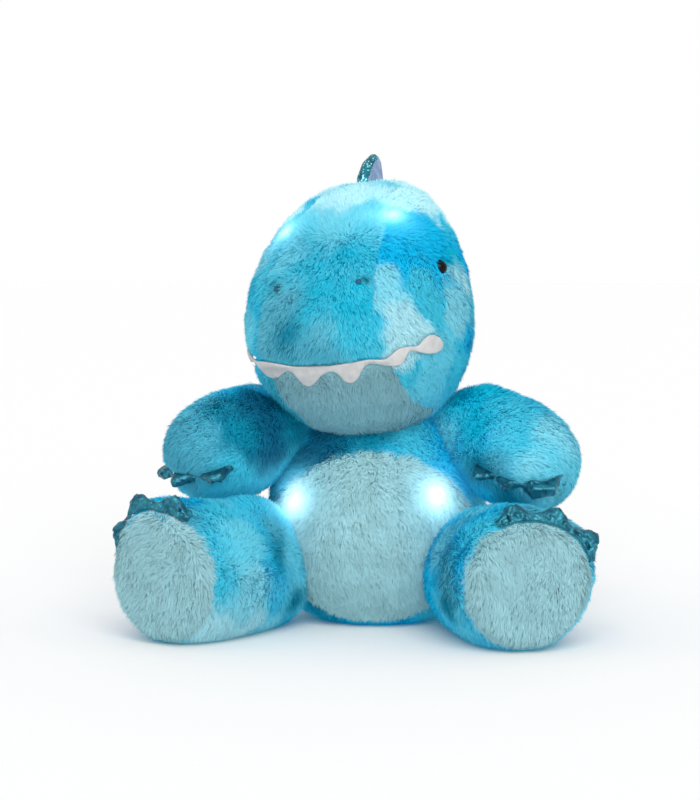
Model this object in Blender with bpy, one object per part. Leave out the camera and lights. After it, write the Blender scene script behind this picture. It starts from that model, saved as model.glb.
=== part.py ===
"""Plush dinosaur night light, seated, with a light module in its back.

Units are metres and +Z is up. The toy faces -Y, its seat rests on Z = 0, and the origin is the
middle of the seat. Left and right are a viewer's, so left is -X.

Each stuffed part is a fabric cover, which is a thin shell, round a solid of fibre stuffing. The
larger parts cut the smaller ones where they are sewn on.
"""

import copy
import math

import bmesh
import bpy
from mathutils import Matrix, Vector
from mathutils.bvhtree import BVHTree

MM = 0.001
MERGE = 0.001 * MM

# Fabric, seams and clearances
FABRIC = 2.6 * MM
SEAM_GAP = 0.35 * MM
FILL_GAP = 0.8 * MM
FIT_GAP = 0.3 * MM
SWING_GAP = 0.8 * MM
OVERRUN = 20 * MM
REST_CUT = 0.5 * MM
INNER = FABRIC + FILL_GAP

# Body
BODY_HEIGHT = 168 * MM
BODY_HALF_WIDTH = 85 * MM
BODY_FRONT = 84 * MM
BODY_BACK = 76 * MM
BODY_WIDTH_SHARES = ((0, 0.9), (0.3, 1.0), (0.6, 0.94), (0.85, 0.8), (1, 0.7))
BODY_DEPTH_SHARES = ((0, 0.98), (0.3, 1.0), (0.6, 0.95), (0.85, 0.72), (1, 0.6))
BODY_FLAT = 0.5
BODY_SQUARE = 2.2
BELLY_HALF_WIDTH = 76 * MM
BELLY_HALF_HEIGHT = 63 * MM
BELLY_BOTTOM = 8 * MM
NECK_RADIUS = 26 * MM

# Head: its own frame stands at the neck with the snout toward -Y
HEAD_HEIGHT = 188 * MM
HEAD_SINK = 19 * MM
HEAD_HALF_WIDTH = 82 * MM
HEAD_FRONT = 84 * MM
HEAD_BACK = 78 * MM
HEAD_FORWARD = 32 * MM
HEAD_WIDTH_SHARES = ((0, 0.8), (0.12, 0.93), (0.35, 1.0), (0.6, 0.96), (0.82, 0.87), (1, 0.76))
HEAD_DEPTH_SHARES = ((0, 0.8), (0.12, 0.92), (0.35, 1.0), (0.6, 0.93), (0.82, 0.84), (1, 0.72))
HEAD_LEAN_SHARES = ((0, -0.8), (0.35, -1.0), (0.6, -0.85), (0.82, -0.45), (1, 0.1))
HEAD_FLAT = 0.62
HEAD_SQUARE = 2.4
HEAD_YAW = math.radians(-22)
HEAD_ROLL = math.radians(-5)

# Mouth, eyes and nostrils, in the head's frame
MOUTH_HEIGHT = 54 * MM
MOUTH_RISE = 16 * MM
MOUTH_RISE_POWER = 2.2
MOUTH_HALF_ANGLE = math.radians(76)
MOUTH_STEPS = 70
TEETH_BAND = 6 * MM
TOOTH_LENGTH = 16 * MM
TOOTH_COUNT = 7
TOOTH_POWER = 2
TEETH_THICKNESS = 1.4 * MM
CHIN_HALF_WIDTH = 52 * MM
CHIN_FORWARD = 20 * MM
EYE_HEIGHT = 119 * MM
EYE_FORWARD = 40 * MM
EYE_RADIUS = 6 * MM
EYE_DOME = 3.6 * MM
EYE_DOME_SHARES = ((1, 0), (0.88, 0.5), (0.55, 0.87), (0, 1))
EYE_SHANK_RADIUS = 1.9 * MM
EYE_SHANK_LENGTH = 9 * MM
WASHER_RADIUS = 7 * MM
WASHER_THICKNESS = 1.6 * MM
NOSTRIL_HEIGHT = 112 * MM
NOSTRIL_OFFSET = 34 * MM
NOSTRIL_WIDTH = 8 * MM
NOSTRIL_DEPTH = 3 * MM
NOSTRIL_STAND = 0.8 * MM

# How far the parts swing from the rest pose, in steps that are cleared one by one
HEAD_TURNS = [math.radians(angle) for angle in (-5, 10, 25, 40)]
ARM_LIFTS = [math.radians(angle) for angle in (0, 12.5, 25)]
LEG_SPLAYS = [math.radians(angle) for angle in (-8, 2, 12)]
TAIL_WAGS = [math.radians(angle) for angle in (-20, -7, 7, 20)]
ARM_CLEAR_POSES = [(turn, lift) for turn in (HEAD_TURNS[0], 0, HEAD_TURNS[-1]) for lift in ARM_LIFTS]

# Arms, each from a root in the shoulder to the middle of the hand
SHOULDER_OFFSET = 62 * MM
SHOULDER_DROP = 12 * MM
SHOULDER_BACK = 8 * MM
SHOULDER_PIVOT = 68 * MM
ARM_REACH = {
    "left": Vector((-0.7, -0.6, -0.27)),
    "right": Vector((0.66, -0.62, -0.34)),
}
ARM_LENGTH = 116 * MM
ARM_RADIUS = 39.5 * MM
ARM_SHARES = ((0, 0.92), (0.3, 0.92), (0.65, 1.0), (0.9, 0.98), (1, 0.9))
LIMB_FLAT = 0.6
LIMB_SQUARE = 2

# Legs, each from a root in the hip to the sole
HIP_OFFSET = 72 * MM
HIP_FORWARD = 18 * MM
LEG_RADIUS = 54 * MM
LEG_LENGTH = 152 * MM
LEG_SHARES = ((0, 0.84), (0.35, 0.88), (0.7, 0.96), (0.88, 1.0), (1, 1.0))
LEG_LEAN_SHARES = ((0, -0.14), (0.35, -0.1), (0.7, -0.03), (0.88, 0.0), (1, 0.0))
LEG_SPLAY = {"left": math.radians(32), "right": math.radians(18)}
LEG_FLAT = 0.3
SOLE_SHARE = 0.84
SOLE_DEPTH = 14 * MM

# Tail
TAIL_ROOT_BACK = 46 * MM
TAIL_PIVOT_BACK = 62 * MM
TAIL_RADIUS = 31 * MM
TAIL_LENGTH = 128 * MM
TAIL_SHARES = ((0, 1.0), (0.3, 0.95), (0.6, 0.72), (0.85, 0.5), (1, 0.4))

# Claws and spikes of leatherette
HAND_CLAW = 12 * MM
FOOT_CLAW = 11 * MM
CLAW_BAND = 3 * MM
CLAW_THICKNESS = 7 * MM
CLAW_COUNT = 3
CLAW_SPREAD = math.radians(34)
CLAW_STEPS = 6
CLAW_POWER = 2.6
CLAW_ROOT_SHARE = 0.8
CLAW_BEVEL_SHARE = 0.25
HAND_CLAW_DROP = math.radians(10)
HAND_CLAW_TURN = {"left": 0.0, "right": math.radians(-32)}
HAND_REACH_SHARE = 0.93
FOOT_CLAW_ROLL = math.radians(24)
SPIKE_THICKNESS = 8 * MM
SPIKE_BEVEL_SHARE = 0.33
CROWN_SPIKE = 25 * MM
CROWN_FORWARD = 3 * MM
NAPE_SPIKE = 24 * MM
BACK_SPIKE = 20 * MM
TAIL_SPIKE = 17 * MM
SPIKE_BASE_SHARE = 1.15
SPIKE_OUTLINE_SHARES = (
    (-0.5, -0.3),
    (0.5, -0.3),
    (0.56, 0.25),
    (0.6, 0.7),
    (0.5, 1.0),
    (0.1, 0.82),
    (-0.3, 0.38),
)
NAPE_SPIKE_HEIGHT_SHARE = 0.62
NAPE_SPIKE_AIM = Vector((0, 1, 0.35))
BACK_SPIKE_HEIGHT_SHARE = 0.8
TAIL_SPIKE_SHARES = (0.48, 0.76)
TAIL_SPIKE_STEP_SHARE = 0.2

# Lights
PUCK_RADIUS = 6.5 * MM
PUCK_THICKNESS = 4 * MM
LENS_RADIUS = 2.6 * MM
LENS_RISE_SHARE = 0.7
LENS_SHARES = ((1, 0), (0.8, 0.6), (0, 1))
BELLY_LIGHT_OFFSET = 56 * MM
BELLY_LIGHT_HEIGHT = 100 * MM
BROW_AIM = Vector((0.62, -0.5, 0.74))
BROW_AIM_HEIGHT = 105 * MM
LEAD_RADIUS = 0.9 * MM
LEAD_SLACK_SHARE = 0.45
LEAD_SPACING = 8 * MM
BROW_LEAD_SPACING = 4.4 * MM
CONNECTOR_WIDTH = 8 * MM
CONNECTOR_HEIGHT = 10 * MM

# Light module: X is its length, Z its height, and its doors face +Y
MODULE_LENGTH = 74 * MM
MODULE_HEIGHT = 40 * MM
MODULE_DEPTH = 15 * MM
MODULE_WALL = 1.6 * MM
MODULE_BASE_SHARE = 3 / 7
MODULE_COVER = 5.4 * MM
CELL_COUNT = 3
CELL_RADIUS = 5.25 * MM
CELL_LENGTH = 44.5 * MM
CELL_TIP_RADIUS = 1.9 * MM
CELL_TIP = 0.8 * MM
BOARD_THICKNESS = 1.2 * MM
SWITCH_SIZE = 6 * MM
SWITCH_HEIGHT = 3.6 * MM
BUTTON_RADIUS = 4 * MM
BUTTON_STAND = 2 * MM
BUTTON_EDGE_SHARE = 0.8
BUTTON_RIM = 1.2 * MM
BUTTON_TRAVEL = 1.2 * MM
BUTTON_FLANGE = 1.2 * MM
SCREW_RADIUS = 1.3 * MM
SCREW_HEAD_RADIUS = 2.5 * MM
SCREW_LENGTH = 9 * MM
SCREW_HEAD = 1.2 * MM
LINING = 1.2 * MM
FLAP_MARGIN = 1 * MM
STRIP_THICKNESS = 1.2 * MM
STRIP_HEIGHT = 9 * MM

# Facets
BODY_AROUND = 28
BODY_LEVELS = 12
LIMB_AROUND = 18
LIMB_LEVELS = 9
ROUND_SIDES = 16
HOLE_SIDES = 12
SCREW_SIDES = 10

for leftover in list(bpy.data.objects):
    bpy.data.objects.remove(leftover)


def material(name, colour, roughness, metallic=0.0):
    made = bpy.data.materials.new(name)
    made.use_nodes = True
    shader = made.node_tree.nodes["Principled BSDF"]
    shader.inputs["Base Color"].default_value = (*colour, 1)
    shader.inputs["Roughness"].default_value = roughness
    shader.inputs["Metallic"].default_value = metallic
    return made


PLUSH_BLUE = ((0.06, 0.42, 0.68), 0.95)
PLUSH_PALE = ((0.32, 0.64, 0.7), 0.95)
FIBRE = ((0.85, 0.85, 0.82), 1.0)
TEAL = ((0.02, 0.17, 0.22), 0.35, 0.5)
CREAM = ((0.78, 0.74, 0.7), 0.7)
BLACK = ((0.01, 0.01, 0.01), 0.1)
DARK = ((0.03, 0.03, 0.035), 0.5)
CASE_WHITE = ((0.75, 0.75, 0.74), 0.4)
BOARD_GREEN = ((0.02, 0.2, 0.07), 0.5)
CELL_GREY = ((0.25, 0.27, 0.3), 0.35, 0.3)
STEEL = ((0.6, 0.6, 0.6), 0.3, 1.0)
LAMP = ((0.6, 0.85, 0.95), 0.2)


def smooth(shares, at):
    """Read a curve through (place, value) shares, with no overshoot between them."""
    places = [place for place, _ in shares]
    values = [value for _, value in shares]
    spans = [after - before for before, after in zip(places, places[1:])]
    rises = [(after - before) / span for before, after, span in zip(values, values[1:], spans)]
    slopes = [rises[0]]
    for before, after in zip(rises, rises[1:]):
        slopes.append(2 * before * after / (before + after) if before * after > 0 else 0.0)
    slopes.append(rises[-1])
    index = max(i for i in range(len(rises)) if i == 0 or places[i] <= at)
    span = spans[index]
    t = (at - places[index]) / span
    return (
        values[index] * (2 * t**3 - 3 * t**2 + 1)
        + slopes[index] * span * (t**3 - 2 * t**2 + t)
        + values[index + 1] * (3 * t**2 - 2 * t**3)
        + slopes[index + 1] * span * (t**3 - t**2)
    )


def power(value, exponent):
    return math.copysign(abs(value) ** exponent, value)


class SoftForm:
    """A stuffed form along its own Z: rings that swell and taper, closed by a point at each end."""

    def __init__(self, length, widths, wides, deeps, frame, flat, square, leans=None, fine=None):
        self.length = length
        self.half_width, self.front, self.back = widths
        self.wides = wides
        self.deeps = deeps
        self.leans = leans
        self.flat = flat
        self.square = square
        self.frame = frame
        self.around, self.levels = fine or (LIMB_AROUND, LIMB_LEVELS)

    def ring(self, level):
        polar = math.pi * level / self.levels
        share = (1 - math.cos(polar)) / 2
        swell = abs(math.sin(polar)) ** self.flat
        lean = smooth(self.leans[1], share) * self.leans[0] if self.leans else 0.0
        wide = self.half_width * smooth(self.wides, share) * swell
        deep = smooth(self.deeps, share) * swell
        points = []
        for step in range(self.around):
            angle = 2 * math.pi * step / self.around
            side = power(math.cos(angle), 2 / self.square) * wide
            reach = power(math.sin(angle), 2 / self.square) * deep
            depth = reach * (self.back if reach > 0 else self.front)
            points.append(Vector((side, depth + lean, share * self.length)))
        return points

    def girth(self):
        """The form's greatest half-width."""
        return max(self.ring(level)[0].x for level in range(self.levels))

    def surface(self, inset=0.0):
        """The form as a bmesh in the world's frame, each point moved inward by inset."""
        made = bmesh.new()
        ends = [self.ring(0)[0], self.ring(self.levels)[0]]
        rows = [[made.verts.new(ends[0])]]
        for level in range(1, self.levels):
            rows.append([made.verts.new(point) for point in self.ring(level)])
        rows.append([made.verts.new(ends[1])])
        for low, high in zip(rows, rows[1:]):
            for step in range(self.around):
                after = (step + 1) % self.around
                corners = [low[step % len(low)], low[after % len(low)]]
                corners += [high[after % len(high)], high[step % len(high)]]
                made.faces.new(list(dict.fromkeys(corners)))
        bmesh.ops.recalc_face_normals(made, faces=made.faces)
        made.normal_update()
        moved = [vert.co - vert.normal * inset for vert in made.verts]
        for vert, point in zip(made.verts, moved):
            vert.co = self.frame @ point
        made.normal_update()
        return made

    def tree(self, inset=0.0):
        made = self.surface(inset)
        tree = BVHTree.FromBMesh(made)
        made.free()
        return tree


def add(name, made, look=None, smooth_angle=math.radians(40)):
    """Make an object of a bmesh, and free the bmesh."""
    mesh = bpy.data.meshes.new(name)
    bmesh.ops.recalc_face_normals(made, faces=made.faces)
    made.to_mesh(mesh)
    made.free()
    mesh.shade_smooth()
    mesh.set_sharp_from_angle(angle=smooth_angle)
    made_object = bpy.data.objects.new(name, mesh)
    bpy.context.collection.objects.link(made_object)
    if look:
        made_object.data.materials.append(material(name, *look))
    return made_object


def boolean(target, tool, operation):
    """Apply an exact Boolean of target and tool to target, and delete the tool."""
    step = target.modifiers.new("step", "BOOLEAN")
    step.object = tool
    step.operation = operation
    step.solver = "EXACT"
    bpy.context.view_layer.update()
    evaluated = target.evaluated_get(bpy.context.evaluated_depsgraph_get())
    mesh = bpy.data.meshes.new_from_object(evaluated)
    target.modifiers.clear()
    target.data = mesh
    bpy.data.objects.remove(tool)
    return target


def cut(target, tool):
    return boolean(target, tool, "DIFFERENCE")


def within(target, tool):
    return boolean(target, tool, "INTERSECT")


def solid_form(name, form, inset, look=None):
    return add(name, form.surface(inset), look)


def filling(name, form, stands=False):
    """A cover's stuffing, with every second point of each of the cover's rings."""
    coarse = copy.copy(form)
    coarse.around //= 2
    core = solid_form(name, coarse, INNER, FIBRE)
    return stand(core, INNER) if stands else core


def stand(target, height=0.0):
    """Cut a form flat at a height above the floor."""
    width = 4 * (BODY_HALF_WIDTH + LEG_LENGTH)
    return cut(target, block("floor", (width, width, OVERRUN), (0, 0, height - OVERRUN / 2)))


def hollow(target, form, depth, stands=False):
    """Hollow a piece of a form down to its surface at a depth."""
    core = solid_form("hollow", form, depth)
    return cut(target, stand(core, depth) if stands else core)


def shell_form(name, form, outer, wall, look=None, stands=False):
    """A closed shell of a form: its surface at one inset, less its surface at a deeper one."""
    shell = hollow(solid_form(name, form, outer, look), form, outer + wall, stands)
    return stand(shell) if stands else shell


def block(name, size, centre, look=None, frame=None):
    made = bmesh.new()
    bmesh.ops.create_cube(made, size=1)
    bmesh.ops.scale(made, vec=size, verts=made.verts)
    bmesh.ops.translate(made, vec=centre, verts=made.verts)
    if frame:
        bmesh.ops.transform(made, matrix=frame, verts=made.verts)
    return add(name, made, look)


def facing(point, direction):
    """A frame at point whose Z is direction."""
    return Matrix.Translation(point) @ direction.to_track_quat("Z", "Y").to_matrix().to_4x4()


def turned(name, profile, frame, look=None, sides=ROUND_SIDES):
    """Turn a profile of (radius, height) points about the frame's Z, from its foot to its top."""
    made = bmesh.new()
    rows = []
    for radius, height in profile:
        count = sides if radius > 0 else 1
        row = []
        for step in range(count):
            angle = 2 * math.pi * step / sides
            place = Vector((radius * math.cos(angle), radius * math.sin(angle), height))
            row.append(made.verts.new(frame @ place))
        rows.append(row)
    for low, high in zip(rows, rows[1:]):
        for step in range(sides):
            after = (step + 1) % sides
            corners = [low[step % len(low)], low[after % len(low)]]
            corners += [high[after % len(high)], high[step % len(high)]]
            made.faces.new(list(dict.fromkeys(corners)))
    for row in (rows[0], rows[-1]):
        if len(row) > 1:
            made.faces.new(row)
    return add(name, made, look)


def rod(name, radius, low, high, frame, look=None, sides=ROUND_SIDES):
    return turned(name, ((radius, low), (radius, high)), frame, look, sides)


def plate(name, outline, thickness, frame, look=None, bevel=0.0):
    """A flat outline in the frame's XY, thickened both ways along its Z, with softened edges."""
    made = bmesh.new()
    corners = [made.verts.new((x, y, -thickness / 2)) for x, y in outline]
    face = made.faces.new(corners)
    grown = bmesh.ops.extrude_face_region(made, geom=[face])
    risen = [item for item in grown["geom"] if isinstance(item, bmesh.types.BMVert)]
    bmesh.ops.translate(made, vec=(0, 0, thickness), verts=risen)
    bmesh.ops.recalc_face_normals(made, faces=made.faces)
    if bevel:
        rims = [edge for edge in made.edges if abs(edge.verts[0].co.z - edge.verts[1].co.z) < FIT_GAP]
        bmesh.ops.bevel(made, geom=rims, offset=bevel, segments=1, affect="EDGES")
    bmesh.ops.transform(made, matrix=frame, verts=made.verts)
    return add(name, made, look)


def tube(name, points, radius, look=None):
    """A round lead through points, with closed ends."""
    curve = bpy.data.curves.new(name, "CURVE")
    curve.dimensions = "3D"
    curve.bevel_depth = radius
    curve.bevel_resolution = 1
    curve.use_fill_caps = True
    line = curve.splines.new("POLY")
    line.points.add(len(points) - 1)
    for place, point in zip(line.points, points):
        place.co = (*point, 1)
    drawn = bpy.data.objects.new(name, curve)
    bpy.context.collection.objects.link(drawn)
    bpy.context.view_layer.update()
    evaluated = drawn.evaluated_get(bpy.context.evaluated_depsgraph_get())
    mesh = bpy.data.meshes.new_from_object(evaluated)
    bpy.data.objects.remove(drawn)
    made = bmesh.new()
    made.from_mesh(mesh)
    bmesh.ops.remove_doubles(made, verts=made.verts, dist=MERGE)
    return add(name, made, look)


def lead_route(start, leave, end, arrive, steps=9):
    """Points along a cubic curve that leaves start along leave and reaches end along arrive."""
    points = []
    for step in range(steps + 1):
        t = step / steps
        weights = ((1 - t) ** 3, 3 * t * (1 - t) ** 2, 3 * t * t * (1 - t), t**3)
        places = (start, start + leave, end - arrive, end)
        points.append(sum((weight * place for weight, place in zip(weights, places)), Vector()))
    return points


def struck(tree, start, direction):
    """Where a ray from start first meets a surface, with the normal that faces the ray."""
    place, normal, _, _ = tree.ray_cast(start, direction.normalized())
    return place, normal if normal.dot(direction) < 0 else -normal


def rim_drop(tree, frame, radius):
    """How far a surface falls away from the frame's XY plane, at most, round a disc of a radius."""
    drops = []
    for step in range(ROUND_SIDES):
        angle = 2 * math.pi * step / ROUND_SIDES
        start = frame @ Vector((radius * math.cos(angle), radius * math.sin(angle), OVERRUN))
        place, _ = struck(tree, start, -(frame.to_3x3() @ UP))
        drops.append(-(frame.inverted() @ place).z)
    return max(drops)


# Forms
body = SoftForm(
    BODY_HEIGHT + REST_CUT,
    (BODY_HALF_WIDTH, BODY_FRONT, BODY_BACK),
    BODY_WIDTH_SHARES,
    BODY_DEPTH_SHARES,
    Matrix.Translation((0, 0, -REST_CUT)),
    flat=BODY_FLAT,
    square=BODY_SQUARE,
    fine=(BODY_AROUND, BODY_LEVELS),
)
head_frame = (
    Matrix.Translation((0, 0, BODY_HEIGHT - HEAD_SINK + HEAD_HEIGHT / 2))
    @ Matrix.Rotation(HEAD_YAW, 4, "Z")
    @ Matrix.Rotation(HEAD_ROLL, 4, "Y")
    @ Matrix.Translation((0, 0, -HEAD_HEIGHT / 2))
)
head = SoftForm(
    HEAD_HEIGHT,
    (HEAD_HALF_WIDTH, HEAD_FRONT, HEAD_BACK),
    HEAD_WIDTH_SHARES,
    HEAD_DEPTH_SHARES,
    head_frame,
    flat=HEAD_FLAT,
    square=HEAD_SQUARE,
    leans=(HEAD_FORWARD, HEAD_LEAN_SHARES),
    fine=(BODY_AROUND, BODY_LEVELS),
)
SIDES = {"left": -1, "right": 1}
UP = Vector((0, 0, 1))
BEHIND = Vector((0, 1, 0))


def shoulder(side, offset):
    return Vector((SIDES[side] * offset, SHOULDER_BACK, BODY_HEIGHT - SHOULDER_DROP))


def arm_axis(side):
    """The axis about which a positive turn lifts the arm."""
    return -SIDES[side] * BEHIND


def hip(side):
    return Vector((SIDES[side] * HIP_OFFSET, -HIP_FORWARD, 0))


def arm_form(side):
    root = shoulder(side, SHOULDER_OFFSET)
    frame = facing(root, ARM_REACH[side])
    return SoftForm(
        ARM_LENGTH, (ARM_RADIUS,) * 3, ARM_SHARES, ARM_SHARES, frame, flat=LIMB_FLAT, square=LIMB_SQUARE
    )


def leg_form(side):
    splay = LEG_SPLAY[side]
    reach = Vector((SIDES[side] * math.sin(splay), -math.cos(splay), 0))
    form = SoftForm(
        LEG_LENGTH,
        (LEG_RADIUS,) * 3,
        LEG_SHARES,
        LEG_SHARES,
        None,
        flat=LEG_FLAT,
        square=LIMB_SQUARE,
        leans=(LEG_RADIUS, LEG_LEAN_SHARES),
    )
    form.frame = facing(hip(side) + (form.girth() - REST_CUT) * UP, reach)
    return form


arms = {side: arm_form(side) for side in SIDES}
legs = {side: leg_form(side) for side in SIDES}
tail = SoftForm(
    TAIL_LENGTH,
    (TAIL_RADIUS,) * 3,
    TAIL_SHARES,
    TAIL_SHARES,
    facing(Vector((0, TAIL_ROOT_BACK, TAIL_RADIUS - REST_CUT)), BEHIND),
    flat=LIMB_FLAT,
    square=LIMB_SQUARE,
)


def seam(target, form):
    """Cut a piece where a larger form meets it, leaving the seam's gap."""
    return cut(target, solid_form("larger", form, -SEAM_GAP))


def turn_about(place, axis, angle):
    """A rotation about an axis through a place."""
    there = Matrix.Translation(place)
    return there @ Matrix.Rotation(angle, 4, axis) @ there.inverted()


def swing_clear(target, form, place):
    """Cut from a piece what a form would meet where the form is moved to a place."""
    neighbour = solid_form("neighbour", form, -SWING_GAP)
    neighbour.data.transform(place)
    return cut(target, neighbour)


def clear_of_body(target, pivot, axis, angles):
    """Clear a moving piece of the body at each angle of its swing."""
    for angle in angles:
        swing_clear(target, body, turn_about(pivot, axis, -angle))
    return target


def clear_of_head(target, side):
    """Clear an arm's piece of the head as the head turns and the arm lifts."""
    for turn, lift in ARM_CLEAR_POSES:
        lifted = turn_about(shoulder(side, SHOULDER_PIVOT), arm_axis(side), -lift)
        swing_clear(target, head, lifted @ turn_about(Vector(), UP, turn))
    return target


# Body cover and its belly panel
def belly_prism(margin):
    """The belly panel's oval, from the middle of the body to past its front."""
    centre = Vector((0, 0, BELLY_BOTTOM + BELLY_HALF_HEIGHT))
    frame = facing(centre, -BEHIND)
    made = rod("oval", 1, 0, BODY_FRONT + OVERRUN, Matrix.Identity(4), sides=2 * ROUND_SIDES)
    grown = Matrix.Diagonal((BELLY_HALF_WIDTH + margin, BELLY_HALF_HEIGHT + margin, 1, 1))
    made.data.transform(frame @ grown)
    return made


body_cover = shell_form("body_cover", body, 0, FABRIC, PLUSH_BLUE, stands=True)
belly_panel = within(solid_form("belly_panel", body, 0, PLUSH_PALE), belly_prism(-SEAM_GAP))
hollow(belly_panel, body, FABRIC, stands=True)
cut(body_cover, belly_prism(0))
cut(body_cover, rod("neck", NECK_RADIUS, BODY_HEIGHT / 2, BODY_HEIGHT + OVERRUN, Matrix.Identity(4)))
body_stuffing = filling("body_stuffing", body, stands=True)
body_tree = body.tree()


# Head cover, chin panel and stuffing
def mouth_cutter(margin):
    """The space below the mouth seam, in front of the cheeks, that the chin panel fills."""
    width = 2 * (CHIN_HALF_WIDTH + margin)
    depth = HEAD_FORWARD + HEAD_FRONT
    top = MOUTH_HEIGHT + margin
    centre = (0, -CHIN_FORWARD + margin - depth / 2, top - MOUTH_HEIGHT)
    return block("mouth", (width, depth, 2 * MOUTH_HEIGHT), centre, frame=head_frame)


head_cover = shell_form("head_cover", head, 0, FABRIC, PLUSH_BLUE)
chin_panel = within(solid_form("chin_panel", head, 0, PLUSH_PALE), mouth_cutter(-SEAM_GAP))
hollow(chin_panel, head, FABRIC)
cut(head_cover, mouth_cutter(0))
head_stuffing = filling("head_stuffing", head)
for piece in (head_cover, chin_panel, head_stuffing):
    clear_of_body(piece, Vector(), UP, HEAD_TURNS)
head_tree = head.tree()
head_turn = head_frame.to_3x3()


def on_head(x, y, height, aim):
    """The head's surface met by a ray from inside, at (x, y, height), along aim."""
    start = head_frame @ Vector((x, y, height))
    place, normal, _, _ = head_tree.ray_cast(start, (head_turn @ Vector(aim)).normalized())
    outward = head_turn @ Vector(aim)
    return place, normal if normal.dot(outward) > 0 else -normal


# Teeth: a strip that lies on the cover below the mouth seam, scalloped into teeth
def tooth_drop(share):
    """How far the strip's edge hangs below the seam, at a share of its length."""
    phase = share * TOOTH_COUNT % 1
    swell = abs(math.sin(math.pi * phase)) ** TOOTH_POWER
    return TEETH_BAND + (TOOTH_LENGTH - TEETH_BAND) * swell


def make_teeth():
    made = bmesh.new()
    rows = []
    for step in range(MOUTH_STEPS + 1):
        share = step / MOUTH_STEPS
        angle = (2 * share - 1) * MOUTH_HALF_ANGLE
        rise = MOUTH_RISE * abs(2 * share - 1) ** MOUTH_RISE_POWER
        aim = (math.sin(angle), -math.cos(angle), 0)
        row = []
        for outer, drop_share in ((False, 0), (True, 0), (True, 1), (False, 1)):
            height = MOUTH_HEIGHT + rise - drop_share * tooth_drop(share)
            place, normal = on_head(0, -HEAD_FORWARD, height, aim)
            raised = SEAM_GAP + TEETH_THICKNESS if outer else -TEETH_THICKNESS
            row.append(made.verts.new(place + normal * raised))
        rows.append(row)
    for row, after in zip(rows, rows[1:]):
        for side in range(4):
            beside = (side + 1) % 4
            made.faces.new((row[side], row[beside], after[beside], after[side]))
    made.faces.new(rows[0])
    made.faces.new(rows[-1])
    return seam(add("teeth_strip", made, CREAM), head)


teeth_strip = make_teeth()


# Eyes: a dome on a shank that passes through the cover, and a washer that locks it inside
def make_eye(side):
    place, normal = on_head(0, -EYE_FORWARD, EYE_HEIGHT, (SIDES[side], 0, 0))
    frame = facing(place, normal)
    seat = SEAM_GAP
    shank_end = -EYE_SHANK_LENGTH
    eye = turned(
        f"{side}_eye",
        (
            (EYE_SHANK_RADIUS, shank_end),
            (EYE_SHANK_RADIUS, seat),
            *((across * EYE_RADIUS, seat + up * EYE_DOME) for across, up in EYE_DOME_SHARES),
        ),
        frame,
        BLACK,
    )
    bore = EYE_SHANK_RADIUS + FIT_GAP
    cut(head_cover, rod("bore", bore, -OVERRUN, OVERRUN, frame))
    top = -FABRIC - SEAM_GAP - rim_drop(head_tree, frame, WASHER_RADIUS)
    washer = rod(f"{side}_eye_washer", WASHER_RADIUS, top - WASHER_THICKNESS, top, frame, DARK)
    cut(washer, rod("bore", bore, -OVERRUN, OVERRUN, frame))
    pocket = WASHER_RADIUS + FILL_GAP
    cut(head_stuffing, rod("pocket", pocket, top - WASHER_THICKNESS - FILL_GAP, OVERRUN, frame))
    cut(head_stuffing, rod("bore", bore, shank_end - FILL_GAP, OVERRUN, frame))
    return eye, washer


eyes = {side: make_eye(side) for side in SIDES}


def make_nostril(side):
    """A stitched bar that lies on the snout."""
    place, normal = on_head(SIDES[side] * NOSTRIL_OFFSET, -HEAD_FORWARD, NOSTRIL_HEIGHT, (0, -1, 0))
    size = (NOSTRIL_WIDTH, NOSTRIL_DEPTH, 2 * NOSTRIL_STAND)
    stitch = block(f"{side}_nostril_stitch", size, (0, 0, 0), PLUSH_BLUE, frame=facing(place, normal))
    return cut(stitch, solid_form("snout", head, -SEAM_GAP))


nostrils = {side: make_nostril(side) for side in SIDES}


# Leatherette spikes
def spike(name, form, place, up, along, height):
    """A padded fin on a form: up from place, its tip leaning toward along."""
    base = height * SPIKE_BASE_SHARE
    side = up.cross(along).normalized()
    ahead = side.cross(up).normalized()
    columns = Matrix((ahead, up.normalized(), side)).transposed().to_4x4()
    frame = Matrix.Translation(place) @ columns
    outline = [(x * base, y * height) for x, y in SPIKE_OUTLINE_SHARES]
    fin = plate(name, outline, SPIKE_THICKNESS, frame, TEAL, bevel=SPIKE_BEVEL_SHARE * SPIKE_THICKNESS)
    return seam(fin, form)


head_back = head_turn @ BEHIND
crown_place, crown_normal = on_head(0, -CROWN_FORWARD, HEAD_HEIGHT / 2, (0, 0, 1))
crown_spike = spike("crown_spike", head, crown_place, crown_normal, head_back, CROWN_SPIKE)
head_down = -(head_turn @ UP)
nape_place, nape_normal = on_head(0, -HEAD_FORWARD, NAPE_SPIKE_HEIGHT_SHARE * HEAD_HEIGHT, NAPE_SPIKE_AIM)
nape_spike = spike("nape_spike", head, nape_place, nape_normal, head_down, NAPE_SPIKE)
behind = Vector((0, 2 * BODY_BACK, BACK_SPIKE_HEIGHT_SHARE * BODY_HEIGHT))
back_place, back_normal = struck(body_tree, behind, -BEHIND)
back_spike = spike("back_spike", body, back_place, back_normal, -UP, BACK_SPIKE)


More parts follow.
